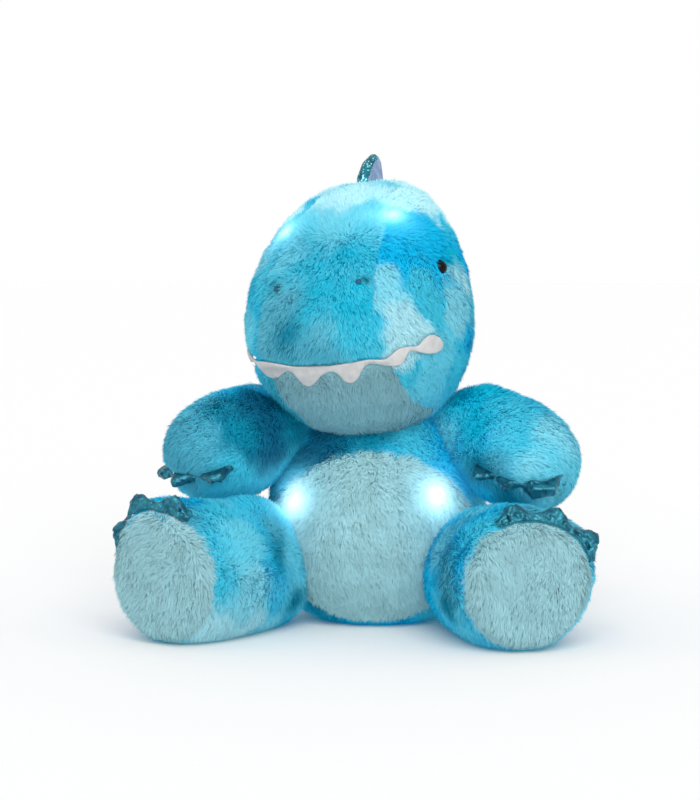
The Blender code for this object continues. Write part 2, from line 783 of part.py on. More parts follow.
# Claws
def claw_strip(name, form, centre, toward, across, reach, claw):
    """A padded strip round part of a form, in the plane of toward and across, with its claws."""
    normal = toward.cross(across).normalized()
    columns = Matrix((toward.normalized(), across.normalized(), normal)).transposed().to_4x4()
    half = CLAW_COUNT * CLAW_SPREAD / 2
    steps = CLAW_COUNT * CLAW_STEPS
    root = CLAW_ROOT_SHARE * reach
    outer = []
    inner = []
    for step in range(steps + 1):
        angle = -half + 2 * half * step / steps
        phase = (angle + half) / CLAW_SPREAD % 1 if 0 < step < steps else 0
        bump = math.sin(math.pi * phase) ** CLAW_POWER
        radius = reach + CLAW_BAND + claw * bump
        outer.append((radius * math.cos(angle), radius * math.sin(angle)))
        inner.append((root * math.cos(angle), root * math.sin(angle)))
    frame = Matrix.Translation(centre) @ columns
    bevel = CLAW_BEVEL_SHARE * CLAW_THICKNESS
    strip = plate(name, outer + inner[::-2], CLAW_THICKNESS, frame, TEAL, bevel)
    return seam(strip, form)


# Arms
def make_arm(side):
    form = arms[side]
    cover = shell_form(f"{side}_arm_cover", form, 0, FABRIC, PLUSH_BLUE)
    stuffing = filling(f"{side}_arm_stuffing", form)
    for piece in (cover, stuffing):
        clear_of_body(piece, shoulder(side, SHOULDER_PIVOT), arm_axis(side), ARM_LIFTS)
        clear_of_head(piece, side)
    reach = ARM_REACH[side].normalized()
    across = reach.cross(UP).normalized()
    toward = Matrix.Rotation(HAND_CLAW_DROP, 3, across) @ reach
    if toward.z > reach.z:
        toward = Matrix.Rotation(-HAND_CLAW_DROP, 3, across) @ reach
    turn = Matrix.Rotation(HAND_CLAW_TURN[side], 3, UP)
    centre = form.frame @ Vector((0, 0, ARM_LENGTH - ARM_RADIUS))
    radius = HAND_REACH_SHARE * ARM_RADIUS
    name = f"{side}_hand_claws"
    claws = claw_strip(name, form, centre, turn @ toward, turn @ across, radius, HAND_CLAW)
    return cover, stuffing, claws


# Legs, each with a sole set into the end of its cover
def make_leg(side):
    form = legs[side]
    cover = shell_form(f"{side}_leg_cover", form, 0, FABRIC, PLUSH_BLUE, stands=True)
    stuffing = filling(f"{side}_leg_stuffing", form, stands=True)
    sole = shell_form(f"{side}_sole", form, 0, FABRIC, PLUSH_PALE, stands=True)
    low, high = LEG_LENGTH - SOLE_DEPTH, LEG_LENGTH + OVERRUN
    radius = SOLE_SHARE * LEG_RADIUS
    cut(cover, rod("sole", radius, low, high, form.frame, sides=2 * ROUND_SIDES))
    within(sole, rod("sole", radius - SEAM_GAP, low, high, form.frame, sides=2 * ROUND_SIDES))
    for piece in (cover, stuffing):
        clear_of_body(piece, hip(side), SIDES[side] * UP, LEG_SPLAYS)
    axis = form.frame.to_3x3() @ UP
    outward = axis.cross(UP).normalized()
    if outward.x * SIDES[side] < 0:
        outward = -outward
    toward = math.cos(FOOT_CLAW_ROLL) * UP + math.sin(FOOT_CLAW_ROLL) * outward
    across = toward.cross(axis).normalized()
    centre = form.frame @ Vector((0, 0, LEG_LENGTH - SOLE_DEPTH))
    claws = claw_strip(f"{side}_foot_claws", form, centre, toward, across, radius, FOOT_CLAW)
    return cover, stuffing, sole, claws


arm_pieces = {side: make_arm(side) for side in SIDES}
leg_pieces = {side: make_leg(side) for side in SIDES}

# Tail
tail_cover = shell_form("tail_cover", tail, 0, FABRIC, PLUSH_BLUE, stands=True)
tail_stuffing = filling("tail_stuffing", tail, stands=True)
for piece in (tail_cover, tail_stuffing):
    clear_of_body(piece, TAIL_PIVOT_BACK * BEHIND, UP, TAIL_WAGS)
tail_tree = tail.tree()
tail_pieces = [tail_cover, tail_stuffing]
for number, share in enumerate(TAIL_SPIKE_SHARES):
    above = Vector((0, TAIL_ROOT_BACK + share * TAIL_LENGTH, 3 * TAIL_RADIUS))
    place, normal = struck(tail_tree, above, -UP)
    size = TAIL_SPIKE * (1 - number * TAIL_SPIKE_STEP_SHARE)
    name = f"tail_spike_{number + 1}"
    tail_pieces.append(spike(name, tail, place, normal, BEHIND, size))


# Lights: domed pucks behind the covers, with their leads
def make_puck(name, tree, place, outward, stuffing):
    """A domed light under the fabric at place; returns it, its back and the way its lead arrives."""
    frame = facing(place, outward)
    rise = LENS_RADIUS * LENS_RISE_SHARE
    lens_top = -FABRIC - SEAM_GAP - rim_drop(tree, frame, LENS_RADIUS)
    top = min(lens_top - rise, -FABRIC - SEAM_GAP - rim_drop(tree, frame, PUCK_RADIUS))
    profile = (
        (PUCK_RADIUS, top - PUCK_THICKNESS),
        (PUCK_RADIUS, top),
        *((across * LENS_RADIUS, top + up * rise) for across, up in LENS_SHARES),
    )
    puck = turned(name, profile, frame, LAMP)
    pocket = rod("pocket", PUCK_RADIUS + FILL_GAP, top - PUCK_THICKNESS - FILL_GAP, OVERRUN, frame)
    cut(stuffing, pocket)
    back = frame @ Vector((0, 0, top - PUCK_THICKNESS - FIT_GAP))
    return puck, back, -outward


def run_lead(name, start, leave, end, arrive, stuffing):
    """A lead from start to end, in a channel of its own through what it passes."""
    route = lead_route(start, leave, end, arrive)
    past = [start - leave.normalized() * LEAD_RADIUS, *route, end + arrive.normalized() * LEAD_RADIUS]
    for solid in stuffing:
        cut(solid, tube("channel", past, LEAD_RADIUS + FILL_GAP))
    return tube(name, route, LEAD_RADIUS, DARK)


# Module and pouch: the module lies under the body's surface, by a cover at the lining's upper corners
half_length = MODULE_LENGTH / 2
module_base = MODULE_BASE_SHARE * BODY_HEIGHT
module_top = module_base + MODULE_HEIGHT
corner = Vector((half_length + FIT_GAP + LINING, 2 * BODY_BACK, module_top + FIT_GAP + LINING))
module_back = struck(body_tree, corner, -BEHIND)[0].y - MODULE_COVER
module_front = module_back - MODULE_DEPTH
lining_front = module_front - FIT_GAP - LINING
lining_half = half_length + FIT_GAP + LINING
lining_base = module_base - FIT_GAP - LINING
lining_top = module_top + FIT_GAP + LINING


def pouch_block(name, margin):
    """The pouch's outside, grown by a margin, out through the back of the body."""
    low = Vector((-lining_half - margin, lining_front - margin, lining_base - margin))
    high = Vector((lining_half + margin, BODY_BACK + OVERRUN, lining_top + margin))
    return block(name, high - low, (low + high) / 2)


# Pouch flap: the part of the cover over the pouch, with hook and loop strips at its lower edge
flap_margin = FLAP_MARGIN + SEAM_GAP
pouch_flap = within(solid_form("pouch_flap", body, 0, PLUSH_BLUE), pouch_block("flap", FLAP_MARGIN))
hollow(pouch_flap, body, FABRIC)
cut(body_cover, pouch_block("opening", flap_margin))
cut(body_stuffing, pouch_block("pouch", FLAP_MARGIN + FILL_GAP))


def closing_strip(name, depth):
    """One of the two strips, at a depth under the body's surface."""
    strip = shell_form(name, body, depth, STRIP_THICKNESS, DARK)
    size = (2 * lining_half - 4 * STRIP_THICKNESS, BODY_BACK, STRIP_HEIGHT)
    return within(strip, block("band", size, (0, BODY_BACK, lining_base + STRIP_HEIGHT / 2)))


hook_depth = FABRIC + FIT_GAP
loop_depth = hook_depth + STRIP_THICKNESS + FIT_GAP
mouth_depth = loop_depth + STRIP_THICKNESS + FIT_GAP
hook_strip = closing_strip("hook_strip", hook_depth)
loop_strip = closing_strip("loop_strip", loop_depth)

# Pouch lining
pouch_lining = within(solid_form("pouch_lining", body, mouth_depth, DARK), pouch_block("outside", 0))
cut(pouch_lining, pouch_block("inside", -LINING))

# Module case, open at the back, with a rib between the cells and the board
cell_bay = CELL_LENGTH + CELL_TIP + 2 * FIT_GAP
bay_left = -half_length + MODULE_WALL
rib_left = bay_left + cell_bay
rib = 4 * (SCREW_HEAD_RADIUS + 2 * FIT_GAP)
board_left = rib_left + rib
board_right = half_length - MODULE_WALL
door_front = module_back - MODULE_WALL
module_middle = (module_base + module_top) / 2
bay_low = module_base + MODULE_WALL
bay_high = module_top - MODULE_WALL


def span_block(name, low, high, look=None):
    low, high = Vector(low), Vector(high)
    return block(name, high - low, (low + high) / 2, look)


bay_floor = module_front + MODULE_WALL
case_low = (-half_length, module_front, module_base)
case_high = (half_length, door_front - FIT_GAP, module_top)
module_case = span_block("module_case", case_low, case_high, CASE_WHITE)
cut(module_case, span_block("bay", (bay_left, bay_floor, bay_low), (rib_left, module_back, bay_high)))
cut(module_case, span_block("bay", (board_left, bay_floor, bay_low), (board_right, module_back, bay_high)))
split = rib_left + rib / 2
door_low = (-half_length, door_front, module_base)
battery_door = span_block("battery_door", door_low, (split, module_back, module_top), CASE_WHITE)
lid_low = (split + FIT_GAP, door_front, module_base)
module_lid = span_block("module_lid", lid_low, (half_length, module_back, module_top), CASE_WHITE)


def backward(x, y, z):
    """A frame at a point of the module, with Z pointing out of the back."""
    return facing(Vector((x, y, z)), BEHIND)


def make_screw(name, x, z, panel):
    frame = backward(x, module_back, z)
    screw = turned(
        name,
        (
            (SCREW_RADIUS, -SCREW_LENGTH),
            (SCREW_RADIUS, -SCREW_HEAD),
            (SCREW_HEAD_RADIUS, -SCREW_HEAD),
            (SCREW_HEAD_RADIUS, 0),
        ),
        frame,
        STEEL,
        sides=SCREW_SIDES,
    )
    slot = (2 * SCREW_HEAD_RADIUS, SCREW_RADIUS / 2, SCREW_HEAD / 2)
    cut(screw, block("slot", slot, (0, 0, 0), frame=frame))
    hole = SCREW_RADIUS + FIT_GAP
    cut(module_case, rod("hole", hole, -SCREW_LENGTH - FIT_GAP, OVERRUN, frame, sides=HOLE_SIDES))
    cut(panel, rod("hole", hole, -2 * MODULE_WALL, OVERRUN, frame, sides=HOLE_SIDES))
    sink = SCREW_HEAD_RADIUS + FIT_GAP
    cut(panel, rod("sink", sink, -SCREW_HEAD - SEAM_GAP, OVERRUN, frame, sides=HOLE_SIDES))


make_screw("battery_door_screw", rib_left + rib / 4, module_middle, battery_door)
make_screw("module_lid_screw", rib_left + 3 * rib / 4, module_middle, module_lid)

# Cells side by side, each next one turned end for end
cells = []
cell_pitch = (bay_high - bay_low) / CELL_COUNT
for number in range(CELL_COUNT):
    flip = 1 if number % 2 == 0 else -1
    middle = (bay_left + rib_left) / 2
    centre = Vector((middle, bay_floor + FIT_GAP + CELL_RADIUS, bay_low + (number + 0.5) * cell_pitch))
    frame = facing(centre, Vector((flip, 0, 0)))
    foot = -(CELL_LENGTH + CELL_TIP) / 2
    profile = (
        (CELL_RADIUS, foot),
        (CELL_RADIUS, foot + CELL_LENGTH),
        (CELL_TIP_RADIUS, foot + CELL_LENGTH),
        (CELL_TIP_RADIUS, foot + CELL_LENGTH + CELL_TIP),
    )
    cells.append(turned(f"cell_{number + 1}", profile, frame, CELL_GREY))

# Board, switch and push button
board_middle = (board_left + board_right) / 2
board_face = bay_floor + FIT_GAP + BOARD_THICKNESS
circuit_board = span_block(
    "circuit_board",
    (board_left + FIT_GAP, bay_floor + FIT_GAP, bay_low + FIT_GAP),
    (board_right - FIT_GAP, board_face, bay_high - FIT_GAP),
    BOARD_GREEN,
)
switch_foot = board_face + FIT_GAP
power_switch = span_block(
    "power_switch",
    (board_middle - SWITCH_SIZE / 2, switch_foot, module_middle - SWITCH_SIZE / 2),
    (board_middle + SWITCH_SIZE / 2, switch_foot + SWITCH_HEIGHT, module_middle + SWITCH_SIZE / 2),
    DARK,
)
button_frame = backward(board_middle, module_back, module_middle)
button_foot = switch_foot + SWITCH_HEIGHT + BUTTON_TRAVEL + FIT_GAP - module_back
flange_top = -MODULE_WALL - FIT_GAP
power_button = turned(
    "power_button",
    (
        (BUTTON_RADIUS / 2, button_foot),
        (BUTTON_RADIUS / 2, flange_top - BUTTON_FLANGE),
        (BUTTON_RADIUS + BUTTON_RIM, flange_top - BUTTON_FLANGE),
        (BUTTON_RADIUS + BUTTON_RIM, flange_top),
        (BUTTON_RADIUS, flange_top),
        (BUTTON_RADIUS, BUTTON_EDGE_SHARE * BUTTON_STAND),
        (BUTTON_EDGE_SHARE * BUTTON_RADIUS, BUTTON_STAND),
    ),
    button_frame,
    DARK,
)
cut(module_lid, rod("hole", BUTTON_RADIUS + FIT_GAP, -2 * MODULE_WALL, OVERRUN, button_frame))

# Belly lights
passed = (module_case, pouch_lining, body_stuffing)
for side, slot in (("left", -1), ("right", 0)):
    aim = Vector((SIDES[side] * BELLY_LIGHT_OFFSET, -2 * BODY_FRONT, BELLY_LIGHT_HEIGHT))
    place, outward = struck(body_tree, aim, BEHIND)
    _, back, inward = make_puck(f"{side}_belly_light", body_tree, place, outward, body_stuffing)
    start = Vector((board_middle, bay_floor, module_middle + slot * LEAD_SPACING))
    slack = (back - start).length * LEAD_SLACK_SHARE
    run_lead(f"{side}_belly_lead", start, Vector((0, -slack, 0)), back, -inward * slack, passed)

# Neck lead and the connector at its end, under the neck opening
connector_top = BODY_HEIGHT - REST_CUT - INNER
connector_foot = connector_top - CONNECTOR_HEIGHT
half = CONNECTOR_WIDTH / 2
connector_low = (-half, -half, connector_foot)
neck_connector = span_block("neck_connector", connector_low, (half, half, connector_top), CASE_WHITE)
pocket_half = half + FILL_GAP
pocket_low = (-pocket_half, -pocket_half, connector_foot - FILL_GAP)
pocket_high = (pocket_half, pocket_half, BODY_HEIGHT + OVERRUN)
cut(body_stuffing, span_block("pocket", pocket_low, pocket_high))
start = Vector((board_middle, bay_floor, module_middle + LEAD_SPACING))
neck_end = Vector((0, 0, connector_foot - FIT_GAP))
slack = (neck_end - start).length * LEAD_SLACK_SHARE
run_lead("neck_lead", start, Vector((0, -slack, 0)), neck_end, Vector((0, 0, slack)), passed)

# Brow lights, each on its own lead from the connector
brow_pieces = []
for side in SIDES:
    aim = Vector((SIDES[side] * BROW_AIM.x, BROW_AIM.y, BROW_AIM.z))
    place, outward = on_head(0, -HEAD_FORWARD / 2, BROW_AIM_HEIGHT, aim)
    puck, back, inward = make_puck(f"{side}_brow_light", head_tree, place, outward, head_stuffing)
    start = Vector((SIDES[side] * BROW_LEAD_SPACING / 2, 0, connector_top + FIT_GAP))
    slack = (back - start).length * LEAD_SLACK_SHARE
    leave, arrive = Vector((0, 0, slack)), -inward * slack
    lead = run_lead(f"{side}_brow_lead", start, leave, back, arrive, (head_stuffing,))
    brow_pieces += [puck, lead]


# Joints: an empty on each axis carries what moves with it
def carry(name, place, moved):
    pivot = bpy.data.objects.new(name, None)
    bpy.context.collection.objects.link(pivot)
    pivot.location = place
    bpy.context.view_layer.update()
    for item in moved:
        item.parent = pivot
        item.matrix_parent_inverse = pivot.matrix_world.inverted()
    return pivot


head_pieces = [head_cover, chin_panel, head_stuffing, teeth_strip, crown_spike, nape_spike]
head_pieces += [*nostrils.values(), *brow_pieces]
head_pieces += [piece for pair in eyes.values() for piece in pair]
carry("head_turn", (0, 0, connector_top), head_pieces)
for side in SIDES:
    carry(f"{side}_arm_lift", shoulder(side, SHOULDER_PIVOT), arm_pieces[side])
    carry(f"{side}_leg_splay", hip(side), leg_pieces[side])
carry("tail_wag", TAIL_PIVOT_BACK * BEHIND, tail_pieces)
flap_top = lining_top + FLAP_MARGIN
hinge_place, _ = struck(body_tree, Vector((0, 2 * BODY_BACK, flap_top)), -BEHIND)
carry("flap_lift", (0, hinge_place.y, flap_top), [pouch_flap, hook_strip])
carry("power_press", button_frame.translation, [power_button])
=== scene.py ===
"""Plush dinosaur night light on a pale floor, in the frame of its CAD part.

Units are metres and +Z is up. The toy faces -Y and its left and right are a viewer's.
"""

import math

import bpy
import numpy as np
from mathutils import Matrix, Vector
from mathutils.bvhtree import BVHTree
from mathutils.kdtree import KDTree


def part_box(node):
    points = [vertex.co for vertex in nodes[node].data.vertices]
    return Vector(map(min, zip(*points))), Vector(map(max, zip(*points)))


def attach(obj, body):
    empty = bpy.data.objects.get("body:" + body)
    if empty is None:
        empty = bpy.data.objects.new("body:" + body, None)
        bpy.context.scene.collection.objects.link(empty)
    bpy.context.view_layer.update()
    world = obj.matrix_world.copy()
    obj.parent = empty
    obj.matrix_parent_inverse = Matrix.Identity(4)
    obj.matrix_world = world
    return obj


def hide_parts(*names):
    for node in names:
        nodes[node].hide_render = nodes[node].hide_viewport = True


MM = 0.001

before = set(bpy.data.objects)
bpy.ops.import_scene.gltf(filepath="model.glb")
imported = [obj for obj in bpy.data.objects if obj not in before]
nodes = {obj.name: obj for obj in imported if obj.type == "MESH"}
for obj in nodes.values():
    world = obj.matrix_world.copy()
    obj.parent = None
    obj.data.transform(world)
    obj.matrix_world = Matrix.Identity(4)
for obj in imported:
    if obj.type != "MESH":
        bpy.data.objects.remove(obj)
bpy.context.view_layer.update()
random = np.random.default_rng(11)

# Camera and light
AZIMUTH = math.radians(4)
ELEVATION = math.radians(4)
DISTANCE = 1.711
TARGET = Vector((-0.019, -0.030, 0.172))
LENS = 100
SENSOR_WIDTH = 36
SUN_TURN = (math.radians(56), math.radians(12), 0)
SUN_SPREAD = math.radians(50)
SUN_STRENGTH = 2.1
FILL_STRENGTH = 0.72
FLOOR_SIZE = 30

# The ways in which the turned head looks, and its own side
HEAD_SIDE = np.array([0.927, -0.375, 0.0])
HEAD_FRONT = np.array([-0.375, -0.927, 0.0])

# Skins
SKIN_VOXEL = 3 * MM
PANEL_VOXEL = 2 * MM
LEATHER_VOXEL = 0.8 * MM
STUFFING_SWELL = 1.0 * MM
CLAW_LIFT = 2 * MM

# Pile
PILE_LENGTH = 9 * MM
PILE_WIDTH = 0.68 * MM
PILE_PER_MM2 = 1.68
MM2_PER_M2 = 1e6
PIECE_STRANDS = 65000
ROOT_SINK = 0.6 * MM
BEND_TAPER = 0.85
FLOOR_GAP = 0.3 * MM
# Share of the pile's own colour that it gives off as glow: painted fill light that lightens the shade
# between strands
PAINTED_FILL_GLOW = 0.14

# How far the pile looks round for seams and trim
SEAM_START = 0.8 * MM
SEAM_REACH = 3 * MM
COVER_REACH = 7 * MM
OPEN_SHARE = 0.6
TRIM_SEARCH = 20 * MM


def deselect():
    bpy.ops.object.select_all(action="DESELECT")


def active(piece):
    deselect()
    piece.select_set(True)
    bpy.context.view_layer.objects.active = piece
    return piece


def apply_modifier(piece, kind, **settings):
    active(piece)
    modifier = piece.modifiers.new(kind.title(), kind)
    for setting, value in settings.items():
        setattr(modifier, setting, value)
    bpy.ops.object.modifier_apply(modifier=modifier.name)


def named(piece, name, material=None):
    piece.name = name
    piece.data.name = name
    if material:
        piece.data.materials.clear()
        piece.data.materials.append(material)
    return piece


def in_edit_mode(piece, *steps):
    active(piece)
    bpy.ops.object.mode_set(mode="EDIT")
    bpy.ops.mesh.select_all(action="SELECT")
    for step in steps:
        step()
    bpy.ops.object.mode_set(mode="OBJECT")


def copy_of(node):
    """A loose copy of a CAD node at rest, with its facets joined."""
    made = nodes[node].copy()
    made.data = nodes[node].data.copy()
    bpy.context.scene.collection.objects.link(made)
    world = made.matrix_world.copy()
    made.parent = None
    made.matrix_world = world
    in_edit_mode(made, lambda: bpy.ops.mesh.remove_doubles(threshold=0.01 * MM))
    return made


# Materials


def principled(name, **values):
    made = bpy.data.materials.new(name)
    made.use_nodes = True
    shader = made.node_tree.nodes["Principled BSDF"]
    for key, value in values.items():
        shader.inputs[key.replace("_", " ")].default_value = value
    return made, made.node_tree, shader


def add(tree, kind, **values):
    made = tree.nodes.new(kind)
    for key, value in values.items():
        if key in made.inputs.keys():
            made.inputs[key].default_value = value
        else:
            setattr(made, key, value)
    return made


def bump(tree, shader, height, strength, distance):
    made = add(tree, "ShaderNodeBump", Strength=strength, Distance=distance)
    tree.links.new(height, made.inputs["Height"])
    tree.links.new(made.outputs["Normal"], shader.inputs["Normal"])


def noise(tree, scale, detail=3.0):
    coords = add(tree, "ShaderNodeTexCoord")
    made = add(tree, "ShaderNodeTexNoise", Scale=scale, Detail=detail)
    tree.links.new(coords.outputs["Object"], made.inputs["Vector"])
    return made


def dyed_material(name, rough, shine):
    """Fabric whose points carry their own tint and glow: the lamps' light through the pile, and a painted
    fill light of their own colour that lightens the shade.
    """
    made, tree, shader = principled(name, Roughness=rough, Specular_IOR_Level=shine)
    tint = add(tree, "ShaderNodeAttribute", attribute_name="tint")
    glow = add(tree, "ShaderNodeAttribute", attribute_name="glow")
    tree.links.new(tint.outputs["Color"], shader.inputs["Base Color"])
    tree.links.new(glow.outputs["Color"], shader.inputs["Emission Color"])
    shader.inputs["Emission Strength"].default_value = 1.0
    return made


def woven_material(name, colour):
    made, tree, shader = principled(name, Roughness=0.95, Specular_IOR_Level=0.1)
    weave = noise(tree, 900.0)
    shader.inputs["Base Color"].default_value = (*colour, 1)
    bump(tree, shader, weave.outputs["Fac"], 0.4, 0.4 * MM)
    return made


def leatherette_material(name, colour, deep, metal, rough, folding, glitter=None):
    """Coated fabric with soft folds and a fine grain, and with flakes of glitter if given. The hollows of
    the folds are in the deep colour, as painted shade.
    """
    made, tree, shader = principled(name, Roughness=rough, Metallic=metal)
    folds = noise(tree, 170.0, 3.0)
    grain = noise(tree, 2200.0, 2.0)
    # Painted shade: the deep colour goes where the folds sink, the main colour where they rise
    mix = add(tree, "ShaderNodeMixRGB", Color1=(*deep, 1), Color2=(*colour, 1))
    fold_shade_mask = add(tree, "ShaderNodeValToRGB")
    fold_shade_mask.color_ramp.elements[0].position = 0.38
    fold_shade_mask.color_ramp.elements[1].position = 0.62
    tree.links.new(folds.outputs["Fac"], fold_shade_mask.inputs["Fac"])
    tree.links.new(fold_shade_mask.outputs["Color"], mix.inputs["Fac"])
    tint = mix.outputs["Color"]
    if glitter:
        coords = add(tree, "ShaderNodeTexCoord")
        flakes = add(tree, "ShaderNodeTexVoronoi", Scale=900.0)
        tree.links.new(coords.outputs["Object"], flakes.inputs["Vector"])
        picked = add(tree, "ShaderNodeValToRGB")
        picked.color_ramp.elements[0].position = 0.72
        picked.color_ramp.elements[1].position = 0.8
        tree.links.new(flakes.outputs["Color"], picked.inputs["Fac"])
        shine = add(tree, "ShaderNodeMixRGB", Color2=(*glitter, 1))
        tree.links.new(picked.outputs["Color"], shine.inputs["Fac"])
        tree.links.new(tint, shine.inputs["Color1"])
        tint = shine.outputs["Color"]
    tree.links.new(tint, shader.inputs["Base Color"])
    heights = add(tree, "ShaderNodeMath", operation="MULTIPLY_ADD")
    heights.inputs[1].default_value = 0.12
    tree.links.new(grain.outputs["Fac"], heights.inputs[0])
    tree.links.new(folds.outputs["Fac"], heights.inputs[2])
    bump(tree, shader, heights.outputs["Value"], folding, 2 * MM)
    return made


def plain(name, colour, rough, metal=0.0, **more):
    made, tree, shader = principled(name, Roughness=rough, Metallic=metal, **more)
    shader.inputs["Base Color"].default_value = (*colour, 1)
    return made


PILE = dyed_material("plush_pile", 0.8, 0.04)
BACKING = dyed_material("sewn_backing", 0.95, 0.05)
BACKING_BLUE = woven_material("backing_blue", (0.02, 0.42, 0.62))
BACKING_PALE = woven_material("backing_pale", (0.3, 0.6, 0.66))
TEAL = leatherette_material("leatherette_teal", (0.03, 0.24, 0.31), (0.01, 0.1, 0.16), 0.7, 0.3, 0.7)
RIM = leatherette_material(
    "leatherette_rim", (0.01, 0.2, 0.26), (0.0, 0.1, 0.15), 0.6, 0.3, 0.6, glitter=(0.35, 0.85, 0.9)
)
LILAC = leatherette_material("leatherette_lilac", (0.3, 0.42, 0.62), (0.2, 0.3, 0.5), 0.35, 0.35, 0.4)
CREAM = leatherette_material("leatherette_cream", (0.55, 0.54, 0.535), (0.49, 0.475, 0.475), 0.0, 0.5, 0.15)
EYE_BLACK = plain("eye_black", (0.002, 0.002, 0.002), 0.12, Specular_IOR_Level=0.15)
THREAD = plain("thread_blue", (0.01, 0.09, 0.17), 0.7)
NODE_MATERIALS = {
    "case_white": plain("case_white", (0.78, 0.78, 0.77), 0.38),
    "screw_steel": plain("screw_steel", (0.55, 0.56, 0.57), 0.28, 1.0),
    "cell_wrap": plain("cell_wrap", (0.2, 0.23, 0.27), 0.3, 0.4),
    "board_green": plain("board_green", (0.02, 0.18, 0.07), 0.45),
    "switch_black": plain("switch_black", (0.02, 0.02, 0.022), 0.4),
    "lamp": plain("lamp", (0.7, 0.9, 0.95), 0.2),
    "lead_black": plain("lead_black", (0.015, 0.015, 0.016), 0.5),
    "washer_white": plain("washer_white", (0.8, 0.8, 0.78), 0.45),
    "lining_fabric": woven_material("lining_fabric", (0.05, 0.2, 0.3)),
    "leatherette_teal": TEAL,
    "leatherette_cream": CREAM,
    "eye_black": EYE_BLACK,
    "thread_blue": THREAD,
    "fibre": woven_material("fibre", (0.8, 0.8, 0.78)),
    "plush_blue": BACKING_BLUE,
    "plush_pale": BACKING_PALE,
}
for node in nodes.values():
    for place in node.material_slots:
        if place.material and place.material.name.split(".")[0] in NODE_MATERIALS:
            place.material = NODE_MATERIALS[place.material.name.split(".")[0]]


def tree_of(meshes):
    """One search tree round several meshes."""
    points = []
    faces = []
    for mesh in meshes:
        start = len(points)
        points += [vert.co.copy() for vert in mesh.vertices]
        faces += [[start + vert for vert in face.vertices] for face in mesh.polygons]
    return BVHTree.FromPolygons(points, faces)


FABRIC_NODES = [name for name in nodes if name.endswith(("_cover", "_panel", "_sole", "_stuffing"))]
FABRIC = tree_of([nodes[name].data for name in FABRIC_NODES + ["pouch_flap"]])

# Skins: the sewn covers, filled and soft at their edges

STUFFED = ("body", "head", "left_arm", "right_arm", "left_leg", "right_leg", "tail")

# Fuller places of the limbs: place and size of each in millimetres, and how far it is pushed
FULLER = {
    "right_arm": (((50, -22, 163), 18, (-5, -3, 4)), ((72, -25, 182), 22, (-2, 0, 7))),
    "left_leg": (((-158, -122, 92), 26, (-6, 0, 6)), ((-84, -70, 90), 24, (0, 0, 9))),
    "right_leg": (((160, -122, 80), 32, (8, 0, 3)),),
}


def filled_out(piece, body):
    """Swell a limb at its fuller places."""
    for place, size, push in FULLER.get(body, ()):
        for vert in piece.data.vertices:
            gap = (vert.co - Vector(place) * MM).length / (size * MM)
            vert.co += Vector(push) * MM * math.exp(-gap * gap)


def filled_skin(name, cover, stuffing, body):
    """A cover and its stuffing as one soft piece."""
    outer = copy_of(cover)
    inner = copy_of(stuffing)
    in_edit_mode(inner, lambda: bpy.ops.transform.shrink_fatten(value=STUFFING_SWELL))
    deselect()
    inner.select_set(True)
    outer.select_set(True)
    bpy.context.view_layer.objects.active = outer
    bpy.ops.object.join()
    apply_modifier(outer, "REMESH", mode="VOXEL", voxel_size=SKIN_VOXEL)
    apply_modifier(outer, "SMOOTH", factor=0.5, iterations=3)
    filled_out(outer, body)
    bpy.ops.object.shade_smooth()
    named(outer, name, BACKING)
    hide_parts(cover, stuffing)
    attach(outer, body)
    return outer


def panel_skin(name, node, body, material, voxel=PANEL_VOXEL):
    """A sewn-on panel or a padded strip as one soft piece."""
    made = copy_of(node)
    apply_modifier(made, "REMESH", mode="VOXEL", voxel_size=voxel)
    apply_modifier(made, "SMOOTH", factor=0.5, iterations=2)
    filled_out(made, body)
    bpy.ops.object.shade_smooth()
    named(made, name, material)
    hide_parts(node)
    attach(made, body)
    return made


skins = {}
for body in STUFFED:
    skins[body] = filled_skin(f"{body}_skin", f"{body}_cover", f"{body}_stuffing", body)
panels = {
    "belly": panel_skin("belly_panel_skin", "belly_panel", "body", BACKING),
    "chin": panel_skin("chin_panel_skin", "chin_panel", "head", BACKING),
    "left_sole": panel_skin("left_sole_skin", "left_sole", "left_leg", BACKING),
    "right_sole": panel_skin("right_sole_skin", "right_sole", "right_leg", BACKING),
    "flap": panel_skin("pouch_flap_skin", "pouch_flap", "flap", BACKING),
}


def laid(claws, body, flat, stretch=(1, 1, 1), anchor=(0, 0, 0), shift=(0, 0, 0)):
    """Press a strip of claws down on its fabric, and draw it along the fabric."""
    under = [skins[body]] + ([panels[body.replace("leg", "sole")]] if "leg" in body else [])
    cloth = tree_of([piece.data for piece in under])
    anchor = Vector(anchor) * MM
    for vert in claws.data.vertices:
        place, normal, _, _ = cloth.find_nearest(vert.co)
        lift = (vert.co - place).dot(normal)
        spot = anchor + Vector(np.array(place - anchor) * stretch) + Vector(shift) * MM
        place, normal, _, _ = cloth.find_nearest(spot)
        vert.co = place + normal * (lift * flat + CLAW_LIFT)
    apply_modifier(claws, "SMOOTH", factor=0.5, iterations=5)


